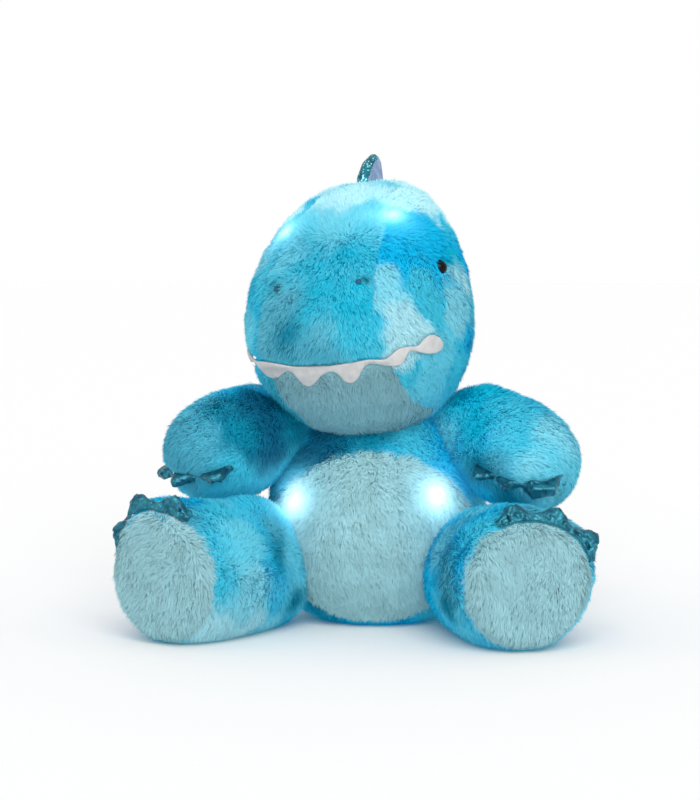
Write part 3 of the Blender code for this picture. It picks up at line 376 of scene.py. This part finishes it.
leathers = []
for node, body in (
    ("left_hand_claws", "left_arm"),
    ("right_hand_claws", "right_arm"),
    ("left_foot_claws", "left_leg"),
    ("right_foot_claws", "right_leg"),
    ("crown_spike", "head"),
    ("nape_spike", "head"),
    ("back_spike", "body"),
    ("tail_spike_1", "tail"),
    ("tail_spike_2", "tail"),
):
    leather = panel_skin(f"{node}_padded", node, body, TEAL, LEATHER_VOXEL)
    leathers.append(leather)
    low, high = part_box(node)
    if node == "left_hand_claws":
        laid(leather, body, 1.0, (1.25, 1, 1), (low.x / MM + 6, 0, 0))
    elif node == "right_hand_claws":
        laid(leather, body, 1.0, shift=(-20, 0, 6))
    elif node == "left_foot_claws":
        laid(leather, body, 0.85)
    elif node == "right_foot_claws":
        laid(leather, body, 0.75)
    elif node == "crown_spike":
        base = (low.x, (low.y + high.y) / 2, low.z)
        wider = (1.35, 1, 1)
        in_edit_mode(leather, lambda: bpy.ops.transform.resize(value=wider, center_override=base))
    if "spike" in node:
        leather.data.materials.append(RIM)
        leather.data.materials.append(LILAC)
        side = HEAD_SIDE if body == "head" else (1, 0, 0)
        for face in leather.data.polygons:
            face.material_index = 2 if abs(face.normal.dot(Vector(side))) > 0.8 else 1


# Edges of the teeth strip, by the angle in degrees round the head and the height in millimetres
STRIP_END = 72.4
STRIP_TOP = (
    (-76, 213), (-70, 215), (-62, 212), (-54, 210), (-47, 206), (-42, 203.7), (-36, 204.5), (-28, 203.9),
    (-20, 202.7), (-13, 201.5), (0, 202), (9, 202.5), (15, 203.9), (20, 205.5), (26, 206.6), (31, 207.8),
    (36, 207.4), (39, 208), (41, 210.5), (43, 213.6), (45.5, 216.3), (49.5, 217), (53.5, 216.8), (56, 218),
    (58, 222), (61, 225), (64.5, 225.8), (69.5, 223), (STRIP_END, 218.5),
)
STRIP_BOTTOM = (
    (-76, 209), (-70, 205), (-62, 203.5), (-54, 202), (-47, 203), (-43, 201.3), (-40, 197), (-37.6, 192),
    (-34, 191), (-28, 192.3), (-22.7, 195.8), (-18, 198), (-15.5, 197), (-13.5, 193), (-12, 188.5),
    (-9.5, 186.2), (-6.3, 186.2), (-2.2, 189.5), (2, 194.3), (5.6, 196.9), (9.5, 198.3), (12.5, 197.3),
    (14.6, 194.5), (16.6, 191), (19.7, 189.2), (22.8, 190.1), (25, 193.4), (26.6, 198.8), (28.5, 203),
    (31, 204.8), (34.4, 204.6), (37.6, 203.3), (42, 202.3), (46, 202.9), (48, 205.3), (49, 209.8),
    (49.8, 212.8), (51.5, 214), (54, 213.6), (58, 211.6), (62, 210.6), (66.6, 210.8), (71, 213),
    (STRIP_END, 217),
)
STRIP_THICKNESS = 2 * MM
STRIP_VOXEL = 0.7 * MM
STRIP_STAND = 3.8
STRIP_BULGE = 0.5
TOOTH_FLARE = 1.4
TOOTH_LENGTH = 14
STRIP_START = 200 * MM


def teeth():
    """A sheet of leatherette between the two edges, laid on the head and slightly wavy."""
    head = tree_of([skins["head"].data])
    low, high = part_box("head_cover")
    middle = (low + high) / 2
    front = Vector(HEAD_FRONT)
    side = Vector(HEAD_SIDE)
    deselect()
    bpy.ops.mesh.primitive_grid_add(x_subdivisions=220, y_subdivisions=10, size=2, location=(0, 0, 0))
    made = bpy.context.object
    for vert in made.data.vertices:
        angle = STRIP_END * vert.co.x
        share = (vert.co.y + 1) / 2
        top = np.interp(angle, *zip(*STRIP_TOP))
        bottom = np.interp(angle, *zip(*STRIP_BOTTOM))
        out = side * math.sin(math.radians(angle)) + front * math.cos(math.radians(angle))
        start = Vector((middle.x, middle.y, (bottom + share * (top - bottom)) * MM)) + out * STRIP_START
        place = head.ray_cast(start, -out)[0]
        flare = TOOTH_FLARE * (1 - share) * min(1, (top - bottom) / TOOTH_LENGTH)
        ripple = flare + STRIP_BULGE * math.sin(math.pi * share)
        vert.co = place + out * (STRIP_STAND + ripple) * MM
    apply_modifier(made, "SMOOTH", factor=0.5, iterations=3)
    apply_modifier(made, "SOLIDIFY", thickness=STRIP_THICKNESS, offset=0)
    apply_modifier(made, "REMESH", mode="VOXEL", voxel_size=STRIP_VOXEL)
    apply_modifier(made, "SMOOTH", factor=0.5, iterations=4)
    bpy.ops.object.shade_smooth()
    named(made, "teeth_strip_soft", CREAM)
    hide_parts("teeth_strip")
    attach(made, "head")
    return made


strip = teeth()

EYE_RADIUS = 5.7 * MM
EYE_STAND = 0.6
EYE_DEPTH = 0.8
THREAD_RADIUS = 0.9 * MM
STITCH_HALF_LENGTH = 2.3 * MM
STITCH_SPACING = 1.1
STITCH_STAND = 1.5


def eye(side):
    """A glossy dome that looks out of the pile."""
    low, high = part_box(f"{side}_eye")
    inner_low, inner_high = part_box(f"{side}_eye_washer")
    outward = ((low + high) - (inner_low + inner_high)).normalized()
    place = (low + high) / 2 + outward * EYE_STAND * MM
    deselect()
    bpy.ops.mesh.primitive_uv_sphere_add(
        segments=48,
        ring_count=24,
        radius=EYE_RADIUS,
        location=place,
        rotation=outward.to_track_quat("Z", "Y").to_euler(),
        scale=(1, 1, EYE_DEPTH),
    )
    made = named(bpy.context.object, f"{side}_eye_dome", EYE_BLACK)
    bpy.ops.object.transform_apply(location=True, rotation=True, scale=True)
    bpy.ops.object.shade_smooth()
    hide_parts(f"{side}_eye")
    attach(made, "head")
    return made


def nostril(side):
    """Three stitches of thick thread, side by side."""
    low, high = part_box(f"{side}_nostril_stitch")
    middle = (low + high) / 2
    place, outward, _, _ = FABRIC.find_nearest(middle)
    across = outward.cross(Vector((0, 0, 1))).normalized()
    down = outward.cross(across).normalized()
    strokes = []
    for row in (-1, 0, 1):
        deselect()
        bpy.ops.mesh.primitive_uv_sphere_add(
            segments=24,
            ring_count=12,
            radius=1,
            location=place + outward * STITCH_STAND * MM + down * row * STITCH_SPACING * MM,
            rotation=across.to_track_quat("Z", "Y").to_euler(),
            scale=(THREAD_RADIUS, THREAD_RADIUS, STITCH_HALF_LENGTH),
        )
        bpy.ops.object.transform_apply(location=True, rotation=True, scale=True)
        strokes.append(bpy.context.object)
    for stroke in strokes:
        stroke.select_set(True)
    bpy.ops.object.join()
    bpy.ops.object.shade_smooth()
    made = named(bpy.context.object, f"{side}_nostril_thread", THREAD)
    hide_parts(f"{side}_nostril_stitch")
    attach(made, "head")
    return made


eyes = [eye(side) for side in ("left", "right")]
nostrils = [nostril(side) for side in ("left", "right")]


# Pile: short tapered strands that stand on the skins in small tufts


def waves(points, size, seed, count=12):
    """Smooth noise of about -1 to 1, whose patches are about as wide as size."""
    source = np.random.default_rng(seed)
    made = np.zeros(len(points))
    for _ in range(count):
        aim = source.normal(size=3)
        aim *= source.uniform(0.6, 1.4) * math.pi / size / np.linalg.norm(aim)
        made += np.sin(points @ aim + source.uniform(0, 2 * math.pi))
    return made / math.sqrt(count / 2) * 0.7


def unit(vectors):
    return vectors / np.maximum(np.linalg.norm(vectors, axis=1, keepdims=True), 1e-9)


# Each piece of trim, with how far from it in millimetres the pile is shorter
LIP = tree_of([strip.data])
LIP_TOP_REACH = 7
TRIM = [
    (LIP, 8),
    (tree_of([leather.data for leather in leathers]), 6),
    (tree_of([dome.data for dome in eyes]), 5),
    (tree_of([thread.data for thread in nostrils]), 5),
]
COVERED = tree_of([piece.data for piece in [strip] + leathers + eyes])


def open_share(piece):
    """For each vertex, 1 where the fabric's outside is in the open and 0 in seams and joints."""
    made = np.zeros(len(piece.data.vertices))
    for vert in piece.data.vertices:
        start = vert.co + vert.normal * SEAM_START
        hit = FABRIC.ray_cast(start, vert.normal, SEAM_REACH)
        if hit[0] is None and COVERED.ray_cast(start, vert.normal, COVER_REACH)[0] is None:
            made[vert.index] = 1.0
    return made


def trim_away(piece):
    """For each vertex, how free it is of trim, from 0 to 1, and the way that leads from the trim."""
    count = len(piece.data.vertices)
    distance = np.full(count, 1.0)
    away = np.zeros((count, 3))
    for vert in piece.data.vertices:
        for tree, reach in TRIM:
            place, _, _, gap = tree.find_nearest(vert.co, TRIM_SEARCH)
            if place is not None and tree is LIP and vert.co.z > place.z + 1 * MM:
                reach = LIP_TOP_REACH
            if place is not None and gap / reach / MM < distance[vert.index]:
                distance[vert.index] = gap / reach / MM
                away[vert.index] = (vert.co - place).normalized()
    return distance, away


class Roots:
    """Places on a skin where strands grow, each with what its triangle's corners say there."""

    def __init__(self, piece, per_mm2):
        mesh = piece.data
        mesh.calc_loop_triangles()
        corners = np.zeros(len(mesh.loop_triangles) * 3, np.int32)
        mesh.loop_triangles.foreach_get("vertices", corners)
        corners = corners.reshape(-1, 3)
        points = np.zeros(len(mesh.vertices) * 3)
        mesh.vertices.foreach_get("co", points)
        points = points.reshape(-1, 3)
        normals = np.zeros(len(mesh.vertices) * 3)
        mesh.vertices.foreach_get("normal", normals)
        normals = normals.reshape(-1, 3)
        sides = points[corners]
        areas = np.linalg.norm(np.cross(sides[:, 1] - sides[:, 0], sides[:, 2] - sides[:, 0]), axis=1) / 2
        count = int(areas.sum() * MM2_PER_M2 * per_mm2)
        picked = random.choice(len(areas), count, p=areas / areas.sum())
        first, second = random.random((2, count))
        over = first + second > 1
        first[over] = 1 - first[over]
        second[over] = 1 - second[over]
        self.shares = np.stack([1 - first - second, first, second], axis=1)
        self.corners = corners[picked]
        self.at = self.mixed(points)
        self.normal = unit(self.mixed(normals))
        distance, away = trim_away(piece)
        self.trim = self.mixed(distance)
        self.away = self.mixed(away)
        self.keep(self.mixed(open_share(piece)) > OPEN_SHARE)

    def mixed(self, values):
        """What the corners say, mixed at each root."""
        picked = values[self.corners]
        if picked.ndim == 2:
            return (picked * self.shares).sum(axis=1)
        return (picked * self.shares[:, :, None]).sum(axis=1)

    def keep(self, chosen):
        for name in ("shares", "corners", "at", "normal", "trim", "away"):
            setattr(self, name, getattr(self, name)[chosen])


def tufts(at, tuft_area):
    """For each root, the index of the root in the middle of its tuft."""
    count = max(8, int(len(at) / PILE_PER_MM2 / tuft_area))
    middles = random.choice(len(at), count, replace=False)
    tree = KDTree(count)
    for index, middle in enumerate(middles):
        tree.insert(at[middle], index)
    tree.balance()
    return middles[np.array([tree.find(place)[1] for place in at])]


def strands(roots, length, comb):
    """Root, bend and tip of each strand, and the way across it.

    The strands stand up at the root and lie over at the tip. Each leans a little its own way, and
    is drawn to the middle of its tuft. Beside trim they are shorter and lean away from it.
    """
    at, normal = roots.at, roots.normal
    count = len(at)
    seeds = random.integers(0, 2**31, 3)
    stir = np.stack(
        [waves(at, 34 * MM, seed) * 0.3 + waves(at, 8 * MM, seed + 1) * 0.07 for seed in seeds], axis=1
    )
    near = np.exp(-roots.trim / 0.5)[:, None] * (roots.trim < 1)[:, None]
    flow = unit(comb) * 0.7 + stir + random.normal(0, 0.2, (count, 3))
    flow = flow * (1 - near) + roots.away * near * 2
    flow = unit(flow - normal * (flow * normal).sum(axis=1)[:, None])
    sizes = length * random.uniform(0.75, 1.05, count) * (1 + 0.05 * waves(at, 9 * MM, seeds[0] + 1))
    sizes = (sizes * np.clip(roots.trim, 0.3, 1))[:, None]
    leans = random.normal(0, 0.12, count) + 0.04 * waves(at, 7 * MM, seeds[1] + 1)
    low = (0.6 + leans)[:, None]
    high = (1.2 + leans * 1.3)[:, None]
    bends = sizes * 0.5 * (normal * np.cos(low) + flow * np.sin(low))
    tips = bends + sizes * 0.5 * (normal * np.cos(high) + flow * np.sin(high))
    middles = tufts(at, 6)
    pull = (at[middles] - at) * random.uniform(0.0, 0.3, count)[:, None]
    tips = tips * 0.6 + tips[middles] * 0.4 + pull
    bends = bends * 0.7 + bends[middles] * 0.3 + pull * 0.35
    along = unit(tips)
    across = unit(np.cross(along, normal))
    roll = random.normal(0, 0.5, count)[:, None]
    across = unit(across * np.cos(roll) + np.cross(along, across) * np.sin(roll))
    return at, at + bends, at + tips, across


def pile_mesh(name, at, bend, tip, across, normal, root_tint, tip_tint, glow):
    """Five points and three triangles for each strand."""
    count = len(at)
    half = across * PILE_WIDTH / 2
    foot = at - normal * ROOT_SINK
    taper = half * BEND_TAPER
    points = np.stack([foot - half, foot + half, bend + taper, bend - taper, tip], axis=1)
    points[:, :, 2] = np.maximum(points[:, :, 2], FLOOR_GAP)
    first = np.arange(count)[:, None] * 5
    faces = np.concatenate(
        [first + [0, 1, 2], first + [0, 2, 3], first + [3, 2, 4]], axis=1
    ).reshape(-1, 3)
    mesh = bpy.data.meshes.new(name)
    mesh.vertices.add(count * 5)
    mesh.vertices.foreach_set("co", points.astype(np.float32).ravel())
    mesh.loops.add(count * 9)
    mesh.loops.foreach_set("vertex_index", faces.astype(np.int32).ravel())
    mesh.polygons.add(count * 3)
    mesh.polygons.foreach_set("loop_start", np.arange(0, count * 9, 3, dtype=np.int32))
    mesh.update(calc_edges=True)
    side = math.ceil(math.sqrt(count))
    cell = np.stack([np.arange(count) % side, np.arange(count) // side], axis=1) / side
    corner = np.array([[0.15, 0.1], [0.85, 0.1], [0.8, 0.55], [0.2, 0.55], [0.5, 0.95]]) / side
    places = (cell[:, None, :] + corner[None, :, :]).reshape(-1, 2)
    layer = mesh.uv_layers.new(name="OFBake")
    layer.uv.foreach_set("vector", places[faces.ravel()].astype(np.float32).ravel())
    shades = np.array([0.0, 0.0, 0.55, 0.55, 1.0])[None, :, None]
    tint = root_tint[:, None, :] * (1 - shades) + tip_tint[:, None, :] * shades
    for label, values in (("tint", tint), ("glow", glow)):
        point_colours(mesh, label, values.reshape(-1, 3))
    mesh.polygons.foreach_set("use_smooth", np.ones(count * 3, bool))
    leaning = unit(unit(tip - at) * 0.3 + normal + random.normal(0, 0.1, (count, 3)))
    upright = unit(normal + unit(tip - at) * 0.15)
    bent = np.stack([upright, upright, leaning, leaning, leaning], axis=1).reshape(-1, 3)
    mesh.normals_split_custom_set_from_vertices(bent)
    mesh.materials.append(PILE)
    return mesh


# Tie-dye: patches of each dye by place, with soft uneven edges. A few dark patches are painted shadow, and
# the crown's palest ones partly painted light on the top, as marked. Places and sizes are in millimetres

DYES = {
    # Dark blue dye, made dark enough to stand partly for painted shadow of the head on the left shoulder
    "deep": np.array([0.0, 0.12, 0.23]),
    "ocean": np.array([0.0, 0.23, 0.36]),
    "cyan": np.array([0.0, 0.48, 0.76]),
    "sea": np.array([0.0, 0.47, 0.66]),
    "dusk": np.array([0.07, 0.4, 0.54]),
    "mid": np.array([0.05, 0.53, 0.7]),
    "light": np.array([0.13, 0.6, 0.75]),
    "pale": np.array([0.22, 0.65, 0.77]),
    "frost": np.array([0.38, 0.7, 0.78]),
    # Palest dye, used only on the top of the head: partly pale dye, partly painted light falling on the top
    "snow_and_top_light": np.array([0.48, 0.84, 0.9]),
    "belly": np.array([0.32, 0.57, 0.61]),
    # The chin panel's pale fabric, darker than the belly's as painted shade under the snout
    "chin": np.array([0.22, 0.44, 0.5]),
    "sole": np.array([0.3, 0.54, 0.59]),
}
PATCHES = {
    "snout": (
        (-58, -56, 290, 30, "light"),
        (-30, -70, 298, 20, "mid"),
        (-24, -100, 262, 34, "sea"),
        (-80, -65, 250, 16, "dusk"),
        (-58, -92, 252, 14, "dusk"),
        (-74, -84, 226, 22, "dusk"),
        (-57, -97, 222, 14, "ocean"),
        (-34, -106, 226, 15, "dusk"),
        (-2, -112, 236, 24, "sea"),
        (-30, -104, 208, 16, "dusk"),
        (-22, -60, 318, 30, "light"),
        (-22, -40, 334, 28, "snow_and_top_light"),
        (-46, -28, 326, 20, "snow_and_top_light"),
        (12, -48, 328, 18, "snow_and_top_light"),
    ),
    "head": (
        (36, -24, 332, 30, "snow_and_top_light"),
        (16, -44, 326, 18, "snow_and_top_light"),
        (38, -66, 296, 20, "cyan"),
        (50, -66, 282, 16, "cyan"),
        (60, -46, 278, 14, "sea"),
        (38, -92, 262, 14, "mid"),
        (60, -64, 252, 22, "pale"),
        (38, -98, 240, 14, "mid"),
        (13, -103, 268, 11, "pale"),
        (16, -106, 250, 14, "pale"),
        (20, -108, 232, 16, "frost"),
        (36, -100, 224, 13, "frost"),
        (20, -106, 214, 12, "frost"),
        (50, -84, 212, 16, "light"),
        (44, -78, 188, 24, "light"),
        (66, -46, 196, 20, "mid"),
        (72, -36, 254, 18, "pale"),
        (-90, -52, 225, 22, "light"),
        (-70, -74, 196, 18, "dusk"),
        (-84, -30, 290, 24, "pale"),
        (30, 50, 240, 38, "cyan"),
        (-50, 30, 260, 34, "light"),
        (76, -10, 236, 30, "light"),
        (70, -6, 200, 26, "mid"),
        (70, -48, 272, 14, "frost"),
        (-50, 4, 322, 34, "snow_and_top_light"),
        (0, 10, 344, 40, "snow_and_top_light"),
    ),
    "body": (
        (66, -44, 140, 36, "cyan"),
        (28, -46, 146, 20, "mid"),
        # Painted shadow of the head on the left of the chest, partly dark dye: the next two patches
        (-66, -34, 136, 26, "ocean"),
        (-36, -42, 146, 24, "deep"),
        (-6, -50, 150, 16, "ocean"),
        (-78, -20, 92, 30, "ocean"),
        (-70, -30, 50, 26, "sea"),
        (0, -60, 8, 44, "cyan"),
        (-44, -56, 16, 18, "ocean"),
        (76, 0, 90, 30, "light"),
        (0, 74, 120, 34, "pale"),
        (50, 60, 60, 30, "cyan"),
        (-50, 60, 130, 30, "light"),
    ),
    "left_arm": (
        (-140, -50, 170, 22, "light"),
        (-140, -70, 136, 30, "dusk"),
        (-116, -72, 150, 18, "dusk"),
        (-116, -64, 168, 14, "ocean"),
        (-100, -66, 112, 22, "mid"),
        # Painted shadow of the head on the left shoulder, partly dark dye: the next two patches
        (-86, -54, 158, 24, "deep"),
        (-84, -56, 140, 18, "deep"),
        (-98, -70, 150, 14, "ocean"),
        (-60, -34, 150, 14, "ocean"),
    ),
    "right_arm": (
        (74, -40, 166, 30, "sea"),
        (60, -28, 142, 18, "light"),
        (112, -56, 168, 20, "mid"),
        (112, -72, 144, 20, "mid"),
        (138, -66, 148, 20, "pale"),
        (132, -76, 126, 18, "light"),
        (114, -80, 127, 9, "pale"),
        (94, -70, 124, 12, "dusk"),
        (78, -56, 124, 12, "ocean"),
        (104, -66, 104, 14, "ocean"),
        (138, -56, 96, 13, "dusk"),
    ),
    "left_leg": (
        (-140, -126, 92, 26, "cyan"),
        (-129, -141, 94, 14, "dusk"),
        (-108, -126, 92, 14, "mid"),
        (-82, -70, 86, 16, "mid"),
        (-92, -132, 66, 20, "light"),
        # Painted shadow between the leg and the belly: the next two patches
        (-74, -92, 76, 14, "dusk"),
        (-72, -98, 62, 10, "ocean"),
        (-60, -76, 56, 16, "light"),
        (-86, -128, 32, 24, "pale"),
        (-112, -146, 14, 20, "frost"),
        (-79, -84, 10, 14, "pale"),
        (-60, -77, 26, 10, "ocean"),
        (-90, -116, 10, 18, "frost"),
    ),
    "right_leg": (
        (128, -140, 92, 26, "light"),
        (110, -142, 98, 14, "dusk"),
        (78, -110, 90, 16, "light"),
        (60, -112, 70, 14, "pale"),
        # Painted shadow between the leg and the belly: the next two patches
        (60, -140, 50, 18, "dusk"),
        (60, -138, 34, 10, "ocean"),
        (150, -110, 60, 24, "cyan"),
        (156, -120, 84, 16, "pale"),
    ),
    "tail": ((0, 90, 50, 26, "cyan"), (0, 150, 40, 24, "pale")),
}


# Painted shade round the nostrils, where the pile dips in dimples: place and size in millimetres
NOSTRIL_SHADE_SPOTS = (((-67, -81, 259), 5.5), ((-3, -104, 265), 3))

# How wide the soft edges of the dyes are
HEAD_EDGE = 9 * MM
SNOUT_EDGE = 20 * MM
LIMB_EDGE = 22 * MM
SEAM_EDGE = 1.5 * MM


# Half the width of the snout between its two seams, by height
SNOUT_HEIGHTS = (0.19, 0.214, 0.302, 0.335)
SNOUT_HALVES = (49, 48, 36, 24)
SNOUT_BACK = -20 * MM
FAR_FROM_SNOUT = 50 * MM


def gusset(at):
    """Distance outward from the seams at the two sides of the snout, below zero on the snout."""
    half = np.interp(at[:, 2], SNOUT_HEIGHTS, SNOUT_HALVES) * MM
    side = np.abs(at @ HEAD_SIDE) - half
    return np.where(at[:, 1] > SNOUT_BACK, FAR_FROM_SNOUT, side)


def painted(made, at, patches, edge):
    """Lay patches of dye over the colours at each point; a few of them stand for painted shadow and painted
    light.
    """
    ragged = waves(at, 20 * MM, 71) * 0.22 + waves(at, 7 * MM, 72) * 0.1
    for x, y, z, size, dye in patches:
        gap = np.linalg.norm(at - np.array([x, y, z]) * MM, axis=1)
        inside = np.clip((size * MM * (1 + ragged) - gap) / edge + 0.5, 0, 1)
        inside = (inside * inside * (3 - 2 * inside))[:, None]
        made = made * (1 - inside) + DYES[dye] * inside
    return made


def dyed(at, part, seed):
    """Colour of the blue fabric at each point, with painted shade round the nostrils."""
    fine = waves(at, 9 * MM, 41) * 0.2
    deep = np.clip(0.35 + 0.9 * (waves(at, 60 * MM, seed) + fine), 0, 1)[:, None]
    pale = np.clip(waves(at, 50 * MM, seed + 1) * 0.9 - 0.2 + fine, 0, 1)[:, None]
    made = DYES["mid"] * (1 - deep) + DYES["cyan"] * deep
    made = made * (1 - pale) + DYES["light"] * pale
    made = painted(made, at, PATCHES[part], HEAD_EDGE if part == "head" else LIMB_EDGE)
    if part == "head":
        on_snout = np.clip(0.5 - gusset(at) / SEAM_EDGE, 0, 1)
        snout = painted(np.tile(DYES["mid"], (len(at), 1)), at, PATCHES["snout"], SNOUT_EDGE)
        made = made * (1 - on_snout[:, None]) + snout * on_snout[:, None]
        # Painted shade: the colour is darkened round each nostril
        for place, size in NOSTRIL_SHADE_SPOTS:
            gap = np.linalg.norm(at - np.array(place) * MM, axis=1)[:, None] / size / MM
            made = made * (1 - 0.7 * np.exp(-gap * gap))
    return made


# Each lamp's glow: the place where it shows, in millimetres, and the sizes of its core and halo
LIGHT_SPOTS = [
    (np.array(place) * MM, core * MM, halo * MM)
    for place, core, halo in (
        ((-69, -46, 303), 6.5, 17),
        ((16, -65, 313), 6.5, 17),
        ((-60, -62, 98), 11, 21),
        ((50, -68, 103), 11, 21),
    )
]
CORE_LIGHT = np.array([0.75, 0.85, 0.9])
HALO_LIGHT = np.array([0.12, 0.3, 0.36])
FAR_LIGHT = np.array([0.0, 0.05, 0.11])


def glows(points):
    """Light that comes through the pile round each lamp."""
    made = np.zeros((len(points), 3))
    for middle, core, halo in LIGHT_SPOTS:
        gap = np.linalg.norm(points - middle, axis=1)[:, None]
        made += np.exp(-((gap / core) ** 2)) * CORE_LIGHT
        made += np.exp(-((gap / halo) ** 2)) * HALO_LIGHT
        made += np.exp(-gap / (halo * 0.9)) * FAR_LIGHT
    return made


def point_colours(mesh, label, values):
    colours = np.ones((len(mesh.vertices), 4), np.float32)
    colours[:, :3] = np.clip(values, 0, 1 if label == "tint" else 4)
    attribute = mesh.attributes.new(label, "FLOAT_COLOR", "POINT")
    attribute.data.foreach_set("color", colours.ravel())


def grow(name, piece, body, comb, tint):
    """Pile for one skin, in pieces of a limited size."""
    knots = np.array([vert.co[:] for vert in piece.data.vertices])
    dye = tint(knots)
    point_colours(piece.data, "tint", dye)
    # The skin glows with the lamps' light and with painted fill light of its own colour
    point_colours(piece.data, "glow", glows(knots) + dye * PAINTED_FILL_GLOW)
    roots = Roots(piece, PILE_PER_MM2)
    order = np.argsort(np.round(roots.at[:, 2] / (6 * MM)) * 10 + roots.at[:, 0])
    roots.keep(order)
    if name == "head":
        beside = gusset(roots.at)
        near = np.exp(-((beside / (1.6 * MM)) ** 2))
        roots.trim = np.minimum(roots.trim, 1 - 0.35 * near)
    at, bend, tip, across = strands(roots, PILE_LENGTH, comb(roots.at))
    colour = tint(at) * (1 + random.normal(0, 0.05, len(at)))[:, None]
    tip_tint = colour * 1.06 + 0.008
    if name == "head":
        frosted = np.clip(0.5 - gusset(at) / (4 * MM), 0, 1) * (0.5 + 0.4 * waves(at, 14 * MM, 90))
        frosted = (np.clip(frosted, 0, 1) * random.uniform(0, 0.9, len(at)))[:, None]
        tip_tint = tip_tint * (1 - frosted) + DYES["pale"] * frosted
    # Painted fill light: a glow of each strand's own colour, lightening its shade
    soft = colour * PAINTED_FILL_GLOW
    at_glow, bend_glow, tip_glow = glows(at) * 0.5 + soft, glows(bend) + soft, glows(tip) + soft
    glow = np.stack([at_glow, at_glow, bend_glow, bend_glow, tip_glow], axis=1)
    parts = math.ceil(len(at) / PIECE_STRANDS)
    for part, chosen in enumerate(np.array_split(np.arange(len(at)), parts)):
        label = f"{name}_pile_{part + 1}" if parts > 1 else f"{name}_pile"
        mesh = pile_mesh(
            label,
            at[chosen],
            bend[chosen],
            tip[chosen],
            across[chosen],
            roots.normal[chosen],
            colour[chosen],
            tip_tint[chosen],
            glow[chosen],
        )
        made = bpy.data.objects.new(label, mesh)
        bpy.context.scene.collection.objects.link(made)
        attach(made, body)


def downward(at):
    return np.tile([0.0, 0.15, -1.0], (len(at), 1))


def outward(at):
    """Down and away from the middle of the toy."""
    return np.sign(at[:, :1]) * np.array([[0.8, 0.0, 0.0]]) + np.array([0.0, 0.2, -0.7])


CROWN_BOTTOM = 292 * MM
CROWN_EDGE = 16 * MM


def from_the_brow(at):
    """Down over the snout and cheeks, and back over the crown."""
    crown = np.clip((at[:, 2] - CROWN_BOTTOM) / CROWN_EDGE, 0, 1)[:, None]
    side = (at @ HEAD_SIDE)[:, None] * HEAD_SIDE / 0.12
    return side + (1 - crown) * np.array([0.0, 0.1, -0.9]) + crown * np.array([0.3, 0.9, 0.3])


COMBS = {"head": from_the_brow, "body": downward, "tail": downward}


# The blue left part of the chin: heights of its edge, and how far across the head it lies there
CHIN_HEIGHTS = (0.163, 0.203)
CHIN_EDGES = (-28, -46)


def undyed(at, panel):
    """Colour of the pale panels, which are evenly dyed; the chin's is a darker copy of the same fabric, as
    painted shade under the snout.
    """
    fine = waves(at, 8 * MM, 5)[:, None]
    made = DYES[panel] * (1 + 0.05 * fine)
    if panel == "chin":
        edge = np.interp(at[:, 2], CHIN_HEIGHTS, CHIN_EDGES) * MM
        blue = np.clip(0.5 - (at @ HEAD_SIDE - edge) / (3 * MM), 0, 1)[:, None]
        made = made * (1 - blue) + DYES["mid"] * blue * 0.8
    return made


for part, seed in (
    ("body", 3),
    ("head", 8),
    ("left_arm", 21),
    ("right_arm", 33),
    ("left_leg", 45),
    ("right_leg", 57),
    ("tail", 69),
):
    grow(part, skins[part], part, COMBS.get(part, outward), lambda at: dyed(at, part, seed))
for panel, body in (
    ("belly", "body"),
    ("chin", "head"),
    ("left_sole", "left_leg"),
    ("right_sole", "right_leg"),
):
    grow(panel, panels[panel], body, downward, lambda at: undyed(at, panel.split("_")[-1]))
grow("flap", panels["flap"], "flap", downward, lambda at: dyed(at, "body", 3))


# Stage


def stage():
    """A pale floor, one wide soft sun, and a white world that also fills the shadows."""
    bpy.ops.mesh.primitive_plane_add(size=FLOOR_SIZE, location=(0, 0, 0))
    floor = named(bpy.context.object, "floor", plain("floor_pale", (0.93, 0.93, 0.93), 0.9))
    bpy.ops.object.light_add(type="SUN", rotation=SUN_TURN)
    sun = bpy.context.object
    sun.name = "soft_sun"
    sun.data.energy = SUN_STRENGTH
    sun.data.angle = SUN_SPREAD
    world = bpy.data.worlds.new("studio")
    bpy.context.scene.world = world
    world.use_nodes = True
    tree = world.node_tree
    tree.nodes.clear()
    seen = add(tree, "ShaderNodeBackground", Color=(1, 1, 1, 1), Strength=1.0)
    fill = add(tree, "ShaderNodeBackground", Color=(1, 1, 1, 1), Strength=FILL_STRENGTH)
    mix = add(tree, "ShaderNodeMixShader")
    path = add(tree, "ShaderNodeLightPath")
    output = add(tree, "ShaderNodeOutputWorld")
    tree.links.new(path.outputs["Is Camera Ray"], mix.inputs["Fac"])
    tree.links.new(fill.outputs["Background"], mix.inputs[1])
    tree.links.new(seen.outputs["Background"], mix.inputs[2])
    tree.links.new(mix.outputs["Shader"], output.inputs["Surface"])


def camera():
    """The photograph's view."""
    forward = Vector(
        (
            -math.sin(AZIMUTH) * math.cos(ELEVATION),
            math.cos(AZIMUTH) * math.cos(ELEVATION),
            -math.sin(ELEVATION),
        )
    )
    bpy.ops.object.camera_add(location=TARGET - forward * DISTANCE)
    made = bpy.context.object
    made.rotation_euler = forward.to_track_quat("-Z", "Y").to_euler()
    made.data.lens = LENS
    made.data.sensor_width = SENSOR_WIDTH
    made.data.clip_start = 0.05
    made.data.clip_end = 100
    bpy.context.scene.camera = made


stage()
camera()
bpy.context.scene.view_settings.view_transform = "Standard"
